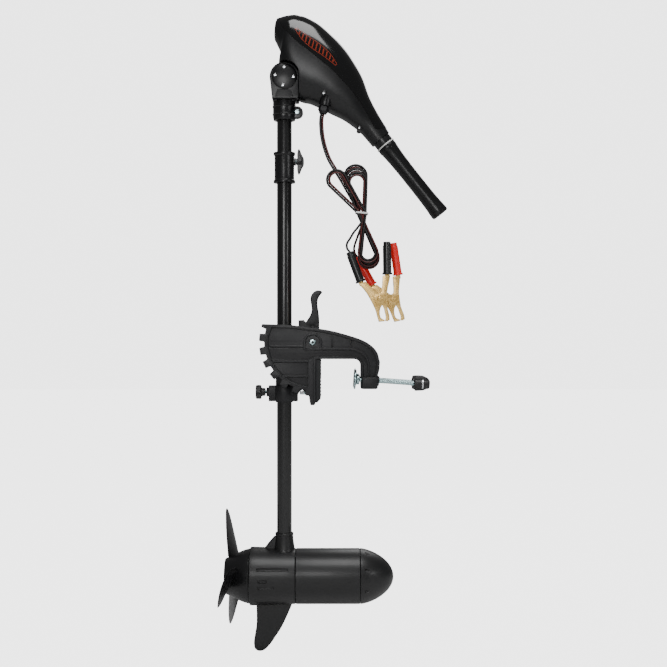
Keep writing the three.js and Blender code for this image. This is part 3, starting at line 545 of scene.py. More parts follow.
# each core from the tie to inside its clip
TAILS = {
    "black": [(68.0, -81.4, 272.6), (68.2, -82.2, 264.0), (62.6, -83.6, 255.6), (55.4, -85.4, 246.4),
              (49.8, -87, 237.0), (44.4, -89, 227.9), (44.6, -91, 219.6),
              (48.3, -91.5, 214.4), (51.5, -91.5, 206), (55.2, -91.5, 196), (61.9, -91.5, 178),
              (67.6, -91.5, 163.4), (77, -91.5, 154),
              (90, -91.5, 142)],
    "red": [(70.8, -80.6, 272.2), (70.9, -78.6, 263.2), (66.6, -74, 252.6), (61.6, -66, 238.6),
            (57.0, -58, 224.7), (57.8, -53.6, 215.5),
            (61.8, -53, 208.4), (65.5, -53, 201.8), (70.5, -53, 192.6), (83.3, -53, 169.3),
            (88.6, -53, 160), (99, -53, 152),
            (113, -53, 142)],
}


def cores():
    """The two side-by-side cores: centrelines offset to each side of the trunk, then free to each clip."""
    trunk = smooth_line(trunk_points(), 3)
    sides = {"black": [], "red": []}
    normal = Vector((1, 0, 0))
    for n, point in enumerate(trunk):
        ahead = trunk[min(n + 1, len(trunk) - 1)] - trunk[max(n - 1, 0)]
        fresh = ahead.cross(Vector((0, 1, 0))).normalized()
        if fresh.dot(normal) < 0:
            fresh = -fresh
        normal = fresh
        sides["black"].append(point - normal * CORE)
        sides["red"].append(point + normal * CORE)
    lines = {}
    for name, side in sides.items():
        tail = smooth_line([side[-1], *TAILS[name]], 6)
        lines[name] = side[:-1] + tail
    return lines


CORES = cores()
lead_black = line_tube("lead core black", CORES["black"], CORE, "core", 12)
lead_red = line_tube("lead core red", CORES["red"], CORE, "red_core", 12)
give(lead_black, "head", "cable_drop", "cable_hank", "lead_black", slot="cable")
give(lead_red, "head", "lead_red", slot="cable")
tracer = line_tube("lead tracer stripe", [Vector(p) + Vector((0, -CORE * 0.9, 0)) for p in CORES["red"]],
    0.35, "stripe", 6)
give(tracer, "head", slot="cable")


def make_tie():
    """White coated twist tie: a flat band round the hank with a twisted pair of ends."""
    loop = [(59.8, -61.9), (69.4, -60.9), (79, -61.9), (79.6, -72), (79, -82.3), (69.4, -83.4), (59.8, -82.3),
        (59, -72)]
    ring = smooth_line([(x, y) for x, y in loop], 6, closed=True)
    section = [(-1.4, 0), (-1.0, 0.4), (1.0, 0.4), (1.4, 0), (1.0, -0.4), (-1.0, -0.4)]
    middle_x = 69.4
    points = []
    for p in ring:
        tilt = (p[0] - middle_x) * -0.09
        for half, push in section:
            away = Vector((p[0] - middle_x, p[1] + 72)).normalized() * push
            points.append((p[0] + away.x, p[1] + away.y, TIE_Z + half + tilt))
    band = solid("tie band", points, ring_faces(len(ring), len(section), closed=True), "tie")
    twist = []
    for phase in (0, math.pi):
        path = [(middle_x + 0.9 * math.cos(phase + k * 0.9), -60.8 + 0.5 * k,
            281.2 + 0.9 * math.sin(phase + k * 0.9)) for k in range(11)]
        end = line_tube("tie end", smooth_line(path, 4), 0.75, "tie", 8)
        twist.append(applied(end))
    return joined("twist tie", band, *twist)


give(make_tie(), "head", "cable_tie", slot="tie")


# ---------------------------------------------------------------- mast, collar and yoke
MAST_X = -64


def upright(name, profile, finish_name, segments=72, round_by=0.6):
    """A piece turned about the mast."""
    return lathe(name, profile, (MAST_X, 0, 0), (0, 0, 1), finish_name, segments, round_by)


give(upright("composite mast", tube(13, 10, -290, 470), "composite"), "mast", "mast_tube", slot="composite")


def make_collar():
    ring = upright("collar", [(13.3, 341), (19, 341), (19, 345.2), (17.3, 346.6), (17.2, 352), (17.2, 388.4),
        (19, 389.8), (19, 394), (13.3, 394)], "matte")
    boss = rod("boss", (-52, 0, 378), (-43.6, 0, 378), 6.5, "matte", 36)
    split = block("split", (-84, -79), (-1, 1), (340, 395), "recess", 0)
    ring = carve(ring, [split])
    ribs = [block("rib", (-66, -62), (s * 17.0 - 0.8, s * 17.0 + 0.8), (347, 388), "matte", 0.5)
        for s in (-1, 1)]
    return joined("depth collar", ring, boss, *ribs)


give(make_collar(), "collar", "depth_collar", slot="matte")


def make_wing_screw():
    shank = rod("shank", (-50.4, 0, 378), (-42, 0, 378), 3, "zinc", 24)
    hub = lathe("hub", [(0, 0), (5.8, 0), (5.4, 9.2), (4.4, 10), (0, 10)], (-43.2, 0, 378), (1, 0, 0),
        "matte", 36)
    wings = plate("wings", [(-41.5, 378), (-41.7, 392), (-40.4, 399), (-38.6, 400.8), (-36.8, 399),
        (-33.4, 390), (-29.8, 384), (-29.6, 378), (-29.8, 372), (-33.4, 366), (-36.8, 357), (-38.6, 355.4),
        (-40.4, 357), (-41.7, 364)], -2.3, 2.3, "matte", 1.1, corner=2.2)
    return joined("depth wing screw", shank, hub, wings)


give(make_wing_screw(), "collar_screw", "depth_wing_screw", slot="matte")

PIVOT = (-63, 522)


def make_yoke():
    neck = upright("neck", [(13.3, 450), (18.6, 450), (20, 456), (20, 459.2), (21, 459.8), (21, 460.8),
        (20, 461.4), (20, 472.8), (21, 473.4), (21, 474.4), (20, 475), (20, 492), (0, 492), (0, 470.6),
        (13.3, 470.6)], "matte")
    ear = plate("ear", [(-56, 454), *arc((-41.5, 464), 10.3, -90, 90, 14), (-56, 474.3)], -7.4, 7.4, "matte",
        1.2)
    outline = [(-87.4, 512), (-84.5, 484), (-39, 484), (-38.1, 490), (-38.1, 512),
        *arc(PIVOT, 25.6, -8, 188, 36)]
    cheeks = [plate("cheek", outline, *span(side, 13.9, 25), "matte", 1.6) for side in (-1, 1)]
    base = block("base", (-84.2, -42), (-15, 15), (482, 498.9), "matte", 1.0)
    gussets = [plate("gusset", [(-80, 486), (-47, 486), (-52, 500), (-75, 500)], *span(side, 24.6, 26),
        "matte", 0.6, corner=2) for side in (-1, 1)]
    return joined("head yoke", neck, ear, base, *cheeks, *gussets)


give(make_yoke(), "mast", "head_yoke", slot="matte")


def make_yoke_screw():
    shank = rod("shank", (-41.5, -8.5, 464), (-41.5, 8.5, 464), 2.5, "zinc", 20)
    near = bolt_head("near", (-41.5, -7.4, 464), (0, -1, 0), 4.1, 2.9, "zinc", 24)
    far = bolt_head("far", (-41.5, 7.4, 464), (0, 1, 0), 4.4, 3, "zinc", 6, socket=True)
    return joined("yoke screw", shank, near, far)


give(make_yoke_screw(), "mast", "yoke_screw", slot="zinc")
give(rod("pivot bolt", (PIVOT[0], -25, PIVOT[1]), (PIVOT[0], 25, PIVOT[1]), 4, "steel"), "mast", "pivot_bolt",
    slot="steel")
COVER_SCREWS_R = 15.9
for where, side in (("near", -1), ("far", 1)):
    at_y = 25.3 * side
    cover = lathe("cover", [(0, 0), (21.8, 0), (21.8, 1.4), (21.2, 2.2), (19.6, 2.9), (16, 3.7), (12.2, 4.3),
        (8, 4.8), (4, 5.1), (0, 5.2)], (PIVOT[0], at_y, PIVOT[1]), (0, side, 0), "matte", 80, 0.35)
    dots = []
    for degrees in (90, 173, 262, 355):
        x, z = on_circle(PIVOT, COVER_SCREWS_R, degrees)
        dots.append(bolt_head("dot", (x, at_y + side * 3.0, z), (0, side, 0), 2.5, 1.5, "steel", 24))
    give(joined(f"pivot cover {where}", cover, *dots), "mast", f"pivot_cover_{where}", slot="matte")


# ---------------------------------------------------------------- motor pod
MOTOR_Z = -346
CAN_R = 48
NOSE_LENGTH = 58.5


def along_motor(name, profile, finish_name, segments=96, round_by=0.8):
    return lathe(name, profile, (0, 0, MOTOR_Z), (1, 0, 0), finish_name, segments, round_by)


def around_motor(radius, degrees, x):
    """A point about the motor's axis."""
    angle = math.radians(degrees)
    return (x, -radius * math.cos(angle), MOTOR_Z + radius * math.sin(angle))


give(along_motor("motor can", [(45, -43.4), (47.4, -43.4), (48, -42.8), (48, 67.2), (47.4, 67.9), (45, 67.9)],
    "paint", round_by=0.3), "mast", "motor_can", slot="paint")


def make_nose():
    outer = []
    for n in range(41):
        share = math.sin(math.radians(90 * n / 41))
        outer.append((CAN_R * math.sqrt(1 - share ** 1.5), share * NOSE_LENGTH))
    outer = [(CAN_R - 0.6, 0.15), (CAN_R, 0.8)] + [p for p in outer if p[1] > 1.5]
    body = lathe("nose", [(0, 12), (11.3, 12), (11.3, 0.15), *outer, (0, NOSE_LENGTH)], (68.25, 0, MOTOR_Z),
        (1, 0, 0), "paint", 128, 0)
    flutes = [rod("flute", around_motor(47.0, degrees, 76), around_motor(47.0, degrees, 130), 3.2, "recess",
        24, edge=2.4) for degrees in (22.5 + 45 * n for n in range(8))]
    return carve(body, flutes)


give(make_nose(), "mast", "motor_nose", slot="casting")
for name, degrees in (("upper", 67.5), ("lower", 247.5)):
    bolt = rod(f"through bolt {name}", around_motor(40.5, degrees, -79), around_motor(40.5, degrees, 86), 2.5,
        "steel", 20)
    give(bolt, "mast", f"through_bolt_{name}", slot="steel")


def make_rear_housing():
    shell = along_motor("shell", [(43, -44.1), (47.4, -44.1), (48, -44.8), (48.4, -60), (50.2, -112),
        (50.4, -117), (50.2, -122.6), (49.4, -123.4), (11.3, -123.4), (11.3, -113.4), (6, -113.4), (6, -64),
        (11.3, -64), (11.3, -54), (43, -50)], "paint", 112, 0.3)
    slots = []
    for height, deep, start, end in ((20, 42.6, -110, -56), (-11, 46.4, -108, -80), (0.5, 46.8, -108, -92)):
        for side in (-1, 1):
            slots.append(block("slot", (start, end), span(side, deep, 60),
                (MOTOR_Z + height - 2.6, MOTOR_Z + height + 2.6), "paint", 1.6))
    shell = carve(shell, slots)
    boot = upright("boot", [(13.3, -290), (13.3, -269.6), (15.0, -269.6), (15.9, -270.6), (15.9, -273.4),
        (15.4, -274.6), (16.0, -282), (18.3, -298), (19.6, -303), (23, -309), (23, -320), (13.3, -320)],
        "paint", 80, 0.5)
    rear_web = plate("rear web", [(-66, -275.2), (-79.6, -275.6), (-82.4, -277), (-91.5, -287.5),
        (-99, -297.4), (-104, -300.5), (-104, -312), (-66, -312)], -6, 6, "paint", 2.6, corner=2.5)
    front_web = plate("front web", [(-66, -294), (-50, -297), (-44.4, -302), (-44.4, -310), (-66, -312)], -8,
        8, "paint", 3.0, corner=2)
    outline = smooth_line([(-113.4, -388), (-112.5, -412), (-112.7, -430), (-115.2, -447), (-117.3, -461),
        (-116.2, -471), (-112.4, -475.6), (-106.2, -477.2), (-99.4, -475.4), (-93.2, -470.3), (-86, -461.8),
        (-79, -451.2), (-71.4, -440), (-64.4, -427), (-57.4, -411.8), (-51, -396.6), (-49.4, -388)], 4)
    skeg = plate("skeg", [tuple(p) for p in outline], -3.2, 3.2, "paint", 2.6, steps=5)
    return joined("motor rear housing", shell, boot, rear_web, front_web, skeg)


give(make_rear_housing(), "mast", "motor_rear_housing", slot="casting")


PITCH = 110
BLADE_X = -153
BLADE_ROOT_R, BLADE_REACH = 36, 82
RAKE = 15


def make_blade(turn):
    """One blade through stations of (radius, chord, how far it is swept back, thickness)."""
    stations = [(34, 44, 0, 7), (42, 48, 0.5, 6.2), (50, 52, 2, 5.4), (58, 55, 3.4, 4.8), (66, 57, 5, 4.3),
        (75, 57, 7, 3.8), (84, 55, 9, 3.4), (93, 50.5, 12, 3.0), (102, 44, 15, 2.6), (108, 37.5, 17.6, 2.2),
        (113, 30, 20.2, 1.9), (116.4, 20.5, 22.8, 1.6), (118.2, 11, 24.6, 1.2), (118.8, 3, 25.4, 0.7)]
    sides = 28
    points = []
    for radius, chord, swept, thick in stations:
        slope = math.atan(PITCH / (2 * math.pi * radius))
        centre = BLADE_X - RAKE * ((radius - BLADE_ROOT_R) / BLADE_REACH)
        for k in range(sides):
            angle = 2 * math.pi * k / sides
            run = (chord / 2) * math.cos(angle)
            deep = (thick / 2) * math.sin(angle) * (1 + 0.25 * math.cos(angle))
            bend = (run * math.cos(slope) - deep * math.sin(slope) - swept) / radius
            x = centre + run * math.sin(slope) + deep * math.cos(slope)
            points.append(around_motor(radius, 90 + turn + math.degrees(bend), x))
    return solid("blade", points, ring_faces(len(stations), sides, ends=True), "matte", 40)


def make_propeller():
    hub = along_motor("hub", [(5.3, -124), (47, -124), (47.4, -124.6), (46.6, -128), (45.6, -132),
        (43.9, -137), (41.4, -143), (38.6, -149), (35.6, -155), (32.6, -161.4), (31.2, -165.5),
        (29.6, -167.5), (13, -167.5), (12, -166.6), (12, -157.5), (5.3, -157.5)], "matte", 96, 0.5)
    blades = [make_blade(33 + 120 * n) for n in range(3)]
    return joined("propeller", hub, *blades)


give(make_propeller(), "rotor", "propeller", slot="matte")
nut = bolt_head("prop nut", (-158, 0, MOTOR_Z), (-1, 0, 0), 9, 7, "steel", 6, socket=True)
give(nut, "rotor", "prop_nut", slot="steel")


# ---------------------------------------------------------------- head
# sections of the head: top x, top z, bottom x, bottom z and half its width
RIBS = [
    (-75.8, 626.5, -79, 588, 25), (-62, 630.5, -70, 566, 33), (-45.5, 632.6, -73.5, 547, 37.5),
    (-36, 631, -66, 520, 39.5), (-25.2, 628.3, -50, 492, 40), (-2.8, 616, -33, 482.5, 40),
    (19.3, 596.8, -19, 479.5, 39.5),
    (36.8, 579.3, -4, 473, 38), (52.5, 558.3, 14, 463.5, 35.5), (71.8, 525, 38, 452, 31),
    (84.7, 490, 55, 440.5, 26), (99.8, 460.3, 70, 428, 21.5), (119, 429, 90.5, 404.5, 18.5),
]
# where the gloss cover meets the lower housing
SEAM = [(-73.5, 623), (-66.5, 608), (-56.4, 594.5), (-40.8, 578.9), (-20.7, 563.5), (-2.8, 548.8), (14, 535.5),
        (36.2, 514.2), (55.3, 494), (78, 462), (92, 436), (96.5, 432), (104, 433), (112, 437)]
SQUARENESS = 0.84
TILLER = Vector((117, 0, 402.5))
DOWN = Vector((0.622, 0, -0.783)).normalized()


def skin(name, finish_name, swell=0.0):
    """The whole skin of the head through its sections, closed at both ends; swell stands it proud."""
    sides = 96
    rows = smooth_line(RIBS, 7)
    first = rows[0]
    caps = []
    for share, back in ((0.02, 3.6), (0.35, 3.5), (0.62, 3.1), (0.8, 2.3), (0.91, 1.2), (0.97, 0.5)):
        mid_x, mid_z = (first[0] + first[2]) / 2, (first[1] + first[3]) / 2
        caps.append(Vector((mid_x + (first[0] - mid_x) * share - back, mid_z + (first[1] - mid_z) * share,
            mid_x + (first[2] - mid_x) * share - back, mid_z + (first[3] - mid_z) * share, first[4] * share)))
    points = []
    rows = caps + rows
    for top_x, top_z, low_x, low_z, half in rows:
        top, low = Vector((top_x, 0, top_z)), Vector((low_x, 0, low_z))
        centre = (top + low) / 2
        rise = top - centre
        rise = rise.normalized() * (rise.length + swell)
        for k in range(sides):
            angle = 2 * math.pi * k / sides
            c, s = math.cos(angle), math.sin(angle)
            bulge_c = math.copysign(abs(c) ** SQUARENESS, c)
            bulge_s = math.copysign(abs(s) ** SQUARENESS, s)
            points.append(centre + rise * bulge_c + Vector((0, (half + swell) * bulge_s, 0)))
    return solid(name, points, ring_faces(len(rows), sides, ends=True), finish_name, 50)


def upper_region(name, drop=0.0):
    """The space above the head's seam, which belongs to the top cover."""
    line = [tuple(p) for p in smooth_line(SEAM, 5)]
    outline = [(x - drop * 0.5, z - drop) for x, z in line] + [(160, 437), (160, 700), (-110, 700),
        (-110, 630)]
    return plate(name, outline, -80, 80, "recess", 0)


def fork_room(grow=0.0):
    """The room the yoke's cheeks need on each side of the head."""
    made = []
    for side in (-1, 1):
        outline = [(-110, 440), (-37.6, 440), (-37.6, 499.8), (-37.6, 514),
            *arc(PIVOT, 26.6 + grow, -17, 180, 40), (-110, 522)]
        made.append(plate("fork room", outline, *span(side, 13.6, 60), "recess", 0))
    return made


def make_head():
    lower = skin("lower", "matte")
    lower = carve(lower, [upper_region("upper region", 0.25), *fork_room(),
        block("below", (-120, -37.6), (-20, 20), (400, 500), "recess", 0)])
    lug = plate("lug", [(-78, 530), (-68, 558), (-44, 562), (-36, 530), *arc(PIVOT, 22, -20, -160, 24)],
        -13.4, 13.4, "matte", 1.2)
    collar = lathe("collar", [(0, -34), (15.2, -34), (16.4, -18), (16.4, -9), (15.6, -7.6), (11.5, -7.5),
        (11.5, -20), (0, -20)], TILLER, DOWN, "matte", 80, 0.6)
    boss = rod("boss", (6.1, -22, 471.2), (10, -22, 487), 10.6, "matte", 40, edge=0.8)
    screws = []
    for x, z, y in ((5.2, 490.8, -35.2), (66.6, 434.7, -17.0)):
        for side in (1, -1):
            ring = lathe("well", [(0, -1.5), (4.2, -1.5), (4.2, 0.5), (3.4, 0.8), (3.1, 0.2), (0, 0.2)],
                (x, y * side, z), (0, -side, 0), "matte", 32, 0.2)
            head = bolt_head("screw", (x, (y + 0.2) * side, z), (0, -side, 0), 1.5, 0.6, "steel", 20)
            screws += [ring, head]
    lower = joined("head lower housing", lower, lug, collar, boss, *screws)
    give(lower, "head", "head_lower_housing", slot="matte")
    upper = skin("cover", "gloss", 0.7)
    upper = carve(upper, [upper_region("upper region")], "INTERSECT")
    upper = carve(upper, fork_room(0.6))
    give(joined("head top cover", upper), "head", "head_top_cover", slot="gloss")


make_head()


def make_gland():
    axis = Vector((0.22, 0, 0.975)).normalized()
    base = Vector((6.0, -22, 470.8))
    nut_part = lathe("gland nut", [(0, 0), (9.6, 0), (9.6, 8.4), (8.8, 9), (0, 9)], base - axis * 9, axis,
        "nylon", 6, 0.4, sharp=20)
    dome = lathe("gland dome", [(5.1, -4.6), (6.4, -4.6), (7.6, -1.4), (8.4, 0.2), (5.1, 0.2)],
        base - axis * 9, axis, "nylon", 48, 0.5)
    return joined("cable gland", nut_part, dome)


give(make_gland(), "head", "cable_gland", slot="nylon")


# ---------------------------------------------------------------- tiller
give(lathe("tiller ring", tube(17.5, 11.6, -7.1, -4.9), TILLER, DOWN, "acetal", 80, 0.5), "head",
    "tiller_ring", slot="acetal")
give(lathe("tiller tube", tube(11, 8.5, -150, 118), TILLER, DOWN, "tube", 64, 0.4), "tiller", "tiller_tube",
    slot="tube")


def make_grip():
    profile = [(11.4, -4.6), (16.2, -4.6), (16.8, -3), (16.8, 2.5), (16.2, 4), (15.4, 12), (14.6, 26),
        (14.0, 50), (13.9, 80), (14.1, 110), (14.8, 128), (15.6, 138), (15.9, 144.6), (15.4, 147.4),
        (13.6, 148.7), (7, 149), (0, 149), (0, 118.4), (11.4, 118.4)]
    # extra rings down the long waist
    long_profile = []
    for (r0, d0), (r1, d1) in zip(profile, profile[1:]):
        steps = 6 if 3 < d0 < 120 and 3 < d1 < 130 and d1 > d0 else 1
        for k in range(steps):
            long_profile.append((r0 + (r1 - r0) * k / steps, d0 + (d1 - d0) * k / steps))
    return lathe("twist grip", long_profile, TILLER, DOWN, "rubber", 96, 0, sharp=40)


give(make_grip(), "grip", "twist_grip", slot="rubber")


# ---------------------------------------------------------------- clamp bracket
BOLT = (-14, 63)
THROAT = (56.5, 21)
NOTCHES = 7
CLAMP_Y = 29
FIRST_NOTCH, NOTCH_STEP = 167.2, 15.2


def notch(n):
    """The angle about the tilt bolt, in degrees, of one of the quadrant's notches."""
    return FIRST_NOTCH + NOTCH_STEP * n


def bracket_outline():
    """The side plates' outline: quadrant with notches, jaw, throat and arm."""
    tip, root = 92.5, 83.5
    line = [on_circle(BOLT, tip, notch(0) - 7)]
    for n in range(NOTCHES):
        middle = notch(n)
        for radius, off in ((tip, -3.7), (root, -2.9), (root, 2.9), (tip, 3.7)):
            line.append(on_circle(BOLT, radius, middle + off))
    line += [on_circle(BOLT, tip, 266), (-19, -40), (-17.5, -45.5), (-11, -45.5), (-8.5, -41), (-8.5, 34)]
    line += [(56.5, 34), *arc(THROAT, 13, 78, 0, 7), (69.5, -17.5), (97, -17.5), (98, 3.5), (101, 16),
        (102, 29), (98.5, 43), (94, 50.5), (88, 56.5), (80.5, 62), (72, 66.5), (61, 70.8), (49, 74.5),
        (26, 81), (11, 84.2), (-4, 86.5), (-51, 92.5)]
    return line


def make_bracket():
    parts = []
    outline = rounded(bracket_outline(), 1.2, closed=True, steps=2)
    for side in (-1, 1):
        core = plate("plate", outline, *span(side, 21.3, 29.6), "nylon", 0.6)
        # raised border round the whole outline, with the tooth belt left full height
        inner = [*arc(BOLT, 76.4, 173, 262, 30), (-22, -14), (-22, 33), (-9, 38.6), (54, 38.6), (62, 36.5),
            (69, 30.5), (73.6, 21), (74, -11.5), (91.8, -11.5), (93, 4), (96, 17), (96.8, 29), (93.8, 40.6),
            (86.6, 50.4), (79, 56.2), (70.6, 60.8), (48, 68.8), (25, 75.4), (-4, 80.8), (-51, 86.8),
            (-84, 88.4)]
        border = plate("border", outline, *span(side, 29, 33.5), "nylon", 0.9, holes=[inner])
        # seam groove between the tooth belt and the ribbed field
        belt = plate("belt", [*arc(BOLT, 79.6, 168, 264, 30), *arc(BOLT, 77.6, 264, 168, 30)],
            *span(side, 33, 34.3), "nylon", 0.45)
        parts += [core, border, belt]
        for z, start in ((30, -84.5), (4.5, -73)):
            parts.append(plate("rib", [(start, z - 2.1), (-19, z - 2.1), (-19, z + 2.1), (start, z + 2.1)],
                *span(side, 29.0, 33.6), "nylon", 1.2))
        sweep = [(-88, 54), (-34, 54), (-20, 49.4), (50, 49.4), (61, 47.4), (71, 42.2), (78, 33), (80.8, 22),
            (80.8, -12), (84.4, -12), (84.4, 23), (81.2, 35.5), (73.4, 46), (62, 51.8), (50, 53.6),
            (-19, 53.6), (-33, 58.2), (-88, 58.2)]
        parts.append(plate("arm rib", sweep, *span(side, 29.0, 33.6), "nylon", 1.2, corner=2))
        # webs that stand across the arm
        for x, low, high in ((20, 55, 73), (52, 53, 67)):
            parts.append(plate("web", [(x - 1.3, low), (x + 1.3, low), (x + 1.3, high), (x - 1.3, high)],
                *span(side, 29.0, 32.6), "nylon", 0.8))
        # arch round the tilt bolt
        arch = [(-30, 50), (-30, 63), *arc(BOLT, 16, 180, 0, 18), (2, 50)]
        pocket = [(-26, 50.5), (-26, 63), *arc(BOLT, 12.2, 180, 0, 16), (-1.6, 50.5)]
        parts.append(plate("arch", arch, *span(side, 29.0, 34.0), "nylon", 0.9, holes=[pocket]))
        parts.append(lathe("washer face", [(0, 0), (9.5, 0), (9.5, 1.0), (8.4, 1.6), (3.2, 1.6), (3.2, 0.2),
            (0, 0.2)], (BOLT[0], side * 27.2, BOLT[1]), (0, side, 0), "nylon", 48, 0.3))
        # raised lip along the throat and the jaw wall
        lip = [(-12.6, -40), (-8.6, -40), (-8.6, 33.9), (56.5, 33.9), *arc(THROAT, 12.9, 78, 0, 7),
            (69.4, -14), (73, -14), (73, 21), *arc(THROAT, 16.6, 0, 90, 8), (-12.6, 37.6)]
        parts.append(plate("lip", lip, *span(side, 32.6, 35.0), "nylon", 0.8))
    # cross walls between the plates
    wall = plate("jaw wall", [(-15, -44.5), (-8.5, -41), (-8.5, 34), (56.5, 34), *arc(THROAT, 13, 78, 0, 7),
        (69.5, -17.5), (97, -17.5), (98, 3.5), (101, 16), (102, 29), (98.5, 43), (88, 56.5), (82, 60.8),
        (79, 42), (3, 42), (-15, 42)], -21.8, 21.8, "nylon", 0.4)
    boss = block("clamp boss", (69.6, 98), (-43, 43), (-17.5, 3.6), "nylon", 3.4)
    parts += [wall, boss]
    for side in (-1, 1):
        parts.append(block("arm side", (4, 80), span(side, 14.5, 21.6), (41, 62), "nylon", 0.6))
        centre = Vector((98.4, side * CLAMP_Y, -3.8))
        parts.append(lathe("screw collar", [(4.4, -1), (8.6, -1), (8.6, 1.4), (7.8, 2.2), (4.4, 2.2)], centre,
            (0.9976, 0, -0.0692), "nylon", 40, 0.4))
    return joined("clamp bracket", *parts)


give(make_bracket(), "bracket", "bracket_body", slot="nylon")


def make_pad():
    outline = [(-8.2, 33.6), (-0.2, 33.6), (0, 33.2), (0, 1.5), (-0.5, 0.5), (-0.5, -35), (-6, -41),
        (-8.2, -41)]
    pad = plate("jaw pad", outline, -32.8, 32.8, "pad", 0.5)
    lines = [block("tread", (-0.9, 0.25), (-32, 32), (z - 0.8, z + 0.8), "pad", 0.3)
        for z in range(-30, 31, 6)]
    return joined("transom pad", pad, *lines)


give(make_pad(), "bracket", "transom_pad", slot="rubber")
shank = rod("shank", (BOLT[0], -30, BOLT[1]), (BOLT[0], 34.6, BOLT[1]), 3, "zinc", 28)
give(joined("tilt bolt", shank, bolt_head("head", (BOLT[0], -28.8, BOLT[1]), (0, -1, 0), 5.4, 4.2, "zinc", 6,
    True)), "bracket", "tilt_bolt", slot="zinc")
give(bolt_head("tilt nut", (BOLT[0], 28.8, BOLT[1]), (0, 1, 0), 6.2, 4.6, "zinc", 6, False), "bracket",
    "tilt_nut", slot="zinc")

# ---------------------------------------------------------------- clamp screws
SCREW = Vector((0.9976, 0, -0.0692)).normalized()


def clamp_at(y, distance):
    """A point on a clamp screw's axis."""
    return Vector((99.75, y, -3.9)) + SCREW * distance


def threaded(name, start, direction, length, radius, pitch, depth, finish_name, sides=28, per_turn=8):
    """A rod with a helical thread."""
    along, side, up = frame_along(direction)
    start = Vector(start)
    rows = int(length / pitch * per_turn)
    points = []
    for n in range(rows + 1):
        distance = length * n / rows
        fade = min(1, distance / 1.5, (length - distance) / 1.5)
        for k in range(sides):
            phase = (distance / pitch - k / sides) % 1
            crest = max(0.0, min(1.0, 1.6 - 3.4 * abs(phase - 0.5)))
            r = radius - depth * fade * (1 - crest) - 0.35 * (1 - fade)
            angle = 2 * math.pi * k / sides
            points.append(start + along * distance + side * (r * math.cos(angle))
                + up * (r * math.sin(angle)))
    return solid(name, points, ring_faces(rows + 1, sides, ends=True), finish_name, 40)


for where, y in (("near", -CLAMP_Y), ("far", CLAMP_Y)):
    body = threaded("thread", clamp_at(y, -34.5), SCREW, 96.5, 3.8, 3.0, 0.3, "zinc")
    ball = lathe("ball", [(0, 0), (4.4, 0.3), (5.4, 1.5), (5.4, 2.4), (3.6, 3.6), (0, 3.6)],
        clamp_at(y, -37.3), SCREW, "zinc", 36, 0.4)
    give(joined(f"clamp screw {where}", body, ball), f"screw_{where}", f"clamp_screw_{where}", slot="zinc")
    grip_body = lathe("knob", [(4.2, 60.8), (7.4, 60.8), (8.6, 62.4), (8.6, 74.6), (8.0, 86), (6.2, 88),
        (0, 88.4), (0, 63.6), (4.2, 63.6)], clamp_at(y, 0), SCREW, "paint", 48, 0.5)
    band = lathe("band", [(8.3, 74.4), (9.1, 74.4), (9.1, 77.2), (8.3, 77.2)], clamp_at(y, 0), SCREW, "steel",
        48, 0.3)
    blade = plate("wing", [(160.8, -19.6), (163, -21), (176.5, -20.4), (184.5, -16.5), (187.4, -9),
        (187.2, -1), (181.5, 3.4), (167, 4), (161.4, 3)], y - 3.4, y + 3.4, "paint", 1.6, corner=3)
    give(joined(f"clamp knob {where}", grip_body, band, blade), f"screw_{where}", f"clamp_knob_{where}",
        slot="matte")
    pad = lathe("clamp pad", [(0, -42.6), (14.2, -42.6), (16.9, -41.6), (17, -40), (15.8, -39.2),
        (9.4, -38.6), (8.5, -37.4), (8.5, -33.8), (7.9, -33.2), (4.4, -33.2), (4.4, -33.6), (5.9, -33.7),
        (5.9, -37.7), (0, -37.7)], clamp_at(y, 0), SCREW, "zinc", 72, 0.3)
    give(pad, f"pad_{where}", f"clamp_pad_{where}", slot="zinc")


# ---------------------------------------------------------------- carriage, lever and lock
def carriage():
    """The cast carriage: the frame's own sleeves, spine, hub and clevis, with their edges rounded."""
    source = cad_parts["carriage_body"]
    copy = bpy.data.objects.new("carriage", source.data.copy())
    scene.collection.objects.link(copy)
    work = bmesh.new()
    work.from_mesh(copy.data)
    bmesh.ops.remove_doubles(work, verts=work.verts, dist=1e-6)
    bmesh.ops.dissolve_limit(work, angle_limit=math.radians(1), verts=work.verts, edges=work.edges)
    work.to_mesh(copy.data)
    work.free()
    copy.data.materials.clear()
    copy.data.materials.append(FINISH["nylon"])
    return soften(copy, 0.8, 2, 40)


give(carriage(), "carriage", "carriage_body", slot="nylon")
give(rod("pivot bushing", (BOLT[0], -20.8, BOLT[1]), (BOLT[0], 20.8, BOLT[1]), 5.7, "acetal", 40), "carriage",
    "pivot_bushing", slot="acetal")


ROD_X = -33


def spring_line(x, low, high, radius, turns):
    """A helix about a vertical line."""
    steps = int(turns * 20)
    return [(x + radius * math.cos(2 * math.pi * k / 20), radius * math.sin(2 * math.pi * k / 20),
        low + (high - low) * k / steps) for k in range(steps + 1)]


spring = applied(line_tube("lock spring", spring_line(ROD_X, 29.3, 49.6, 3.6, 6), 0.6, "steel", 8))
give(keep(spring), "carriage", "lock_spring", slot="steel")
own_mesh(spring)


def make_lever():
    outline = [(-33.5, 87.8), (-33.5, 93), (-28, 94.5), (-24.6, 100.5), (-19.8, 107.5), (-16.6, 115),
        (-16, 122), (-17.6, 131), (-18.5, 138), (-17.4, 144), (-13.6, 149.8), (-8, 153.2), (-3, 153.4),
        (1.4, 151.8), (2.4, 149.9), (0.4, 147.4), (-2.6, 143.6), (-5, 139), (-6.2, 133), (-6, 126),
        (-4.6, 118), (-3.4, 109), (-2.8, 100), (-3, 86), (-12, 81.5), (-20, 82.5), (-25.4, 85.4)]
    body = plate("lever", outline, -7, 7, "nylon", 2.2, steps=5, corner=2.5)
    pins = rod("pin", (-14, -12.0, 89), (-14, 12.0, 89), 3, "nylon", 28)
    return joined("release lever", body, pins)


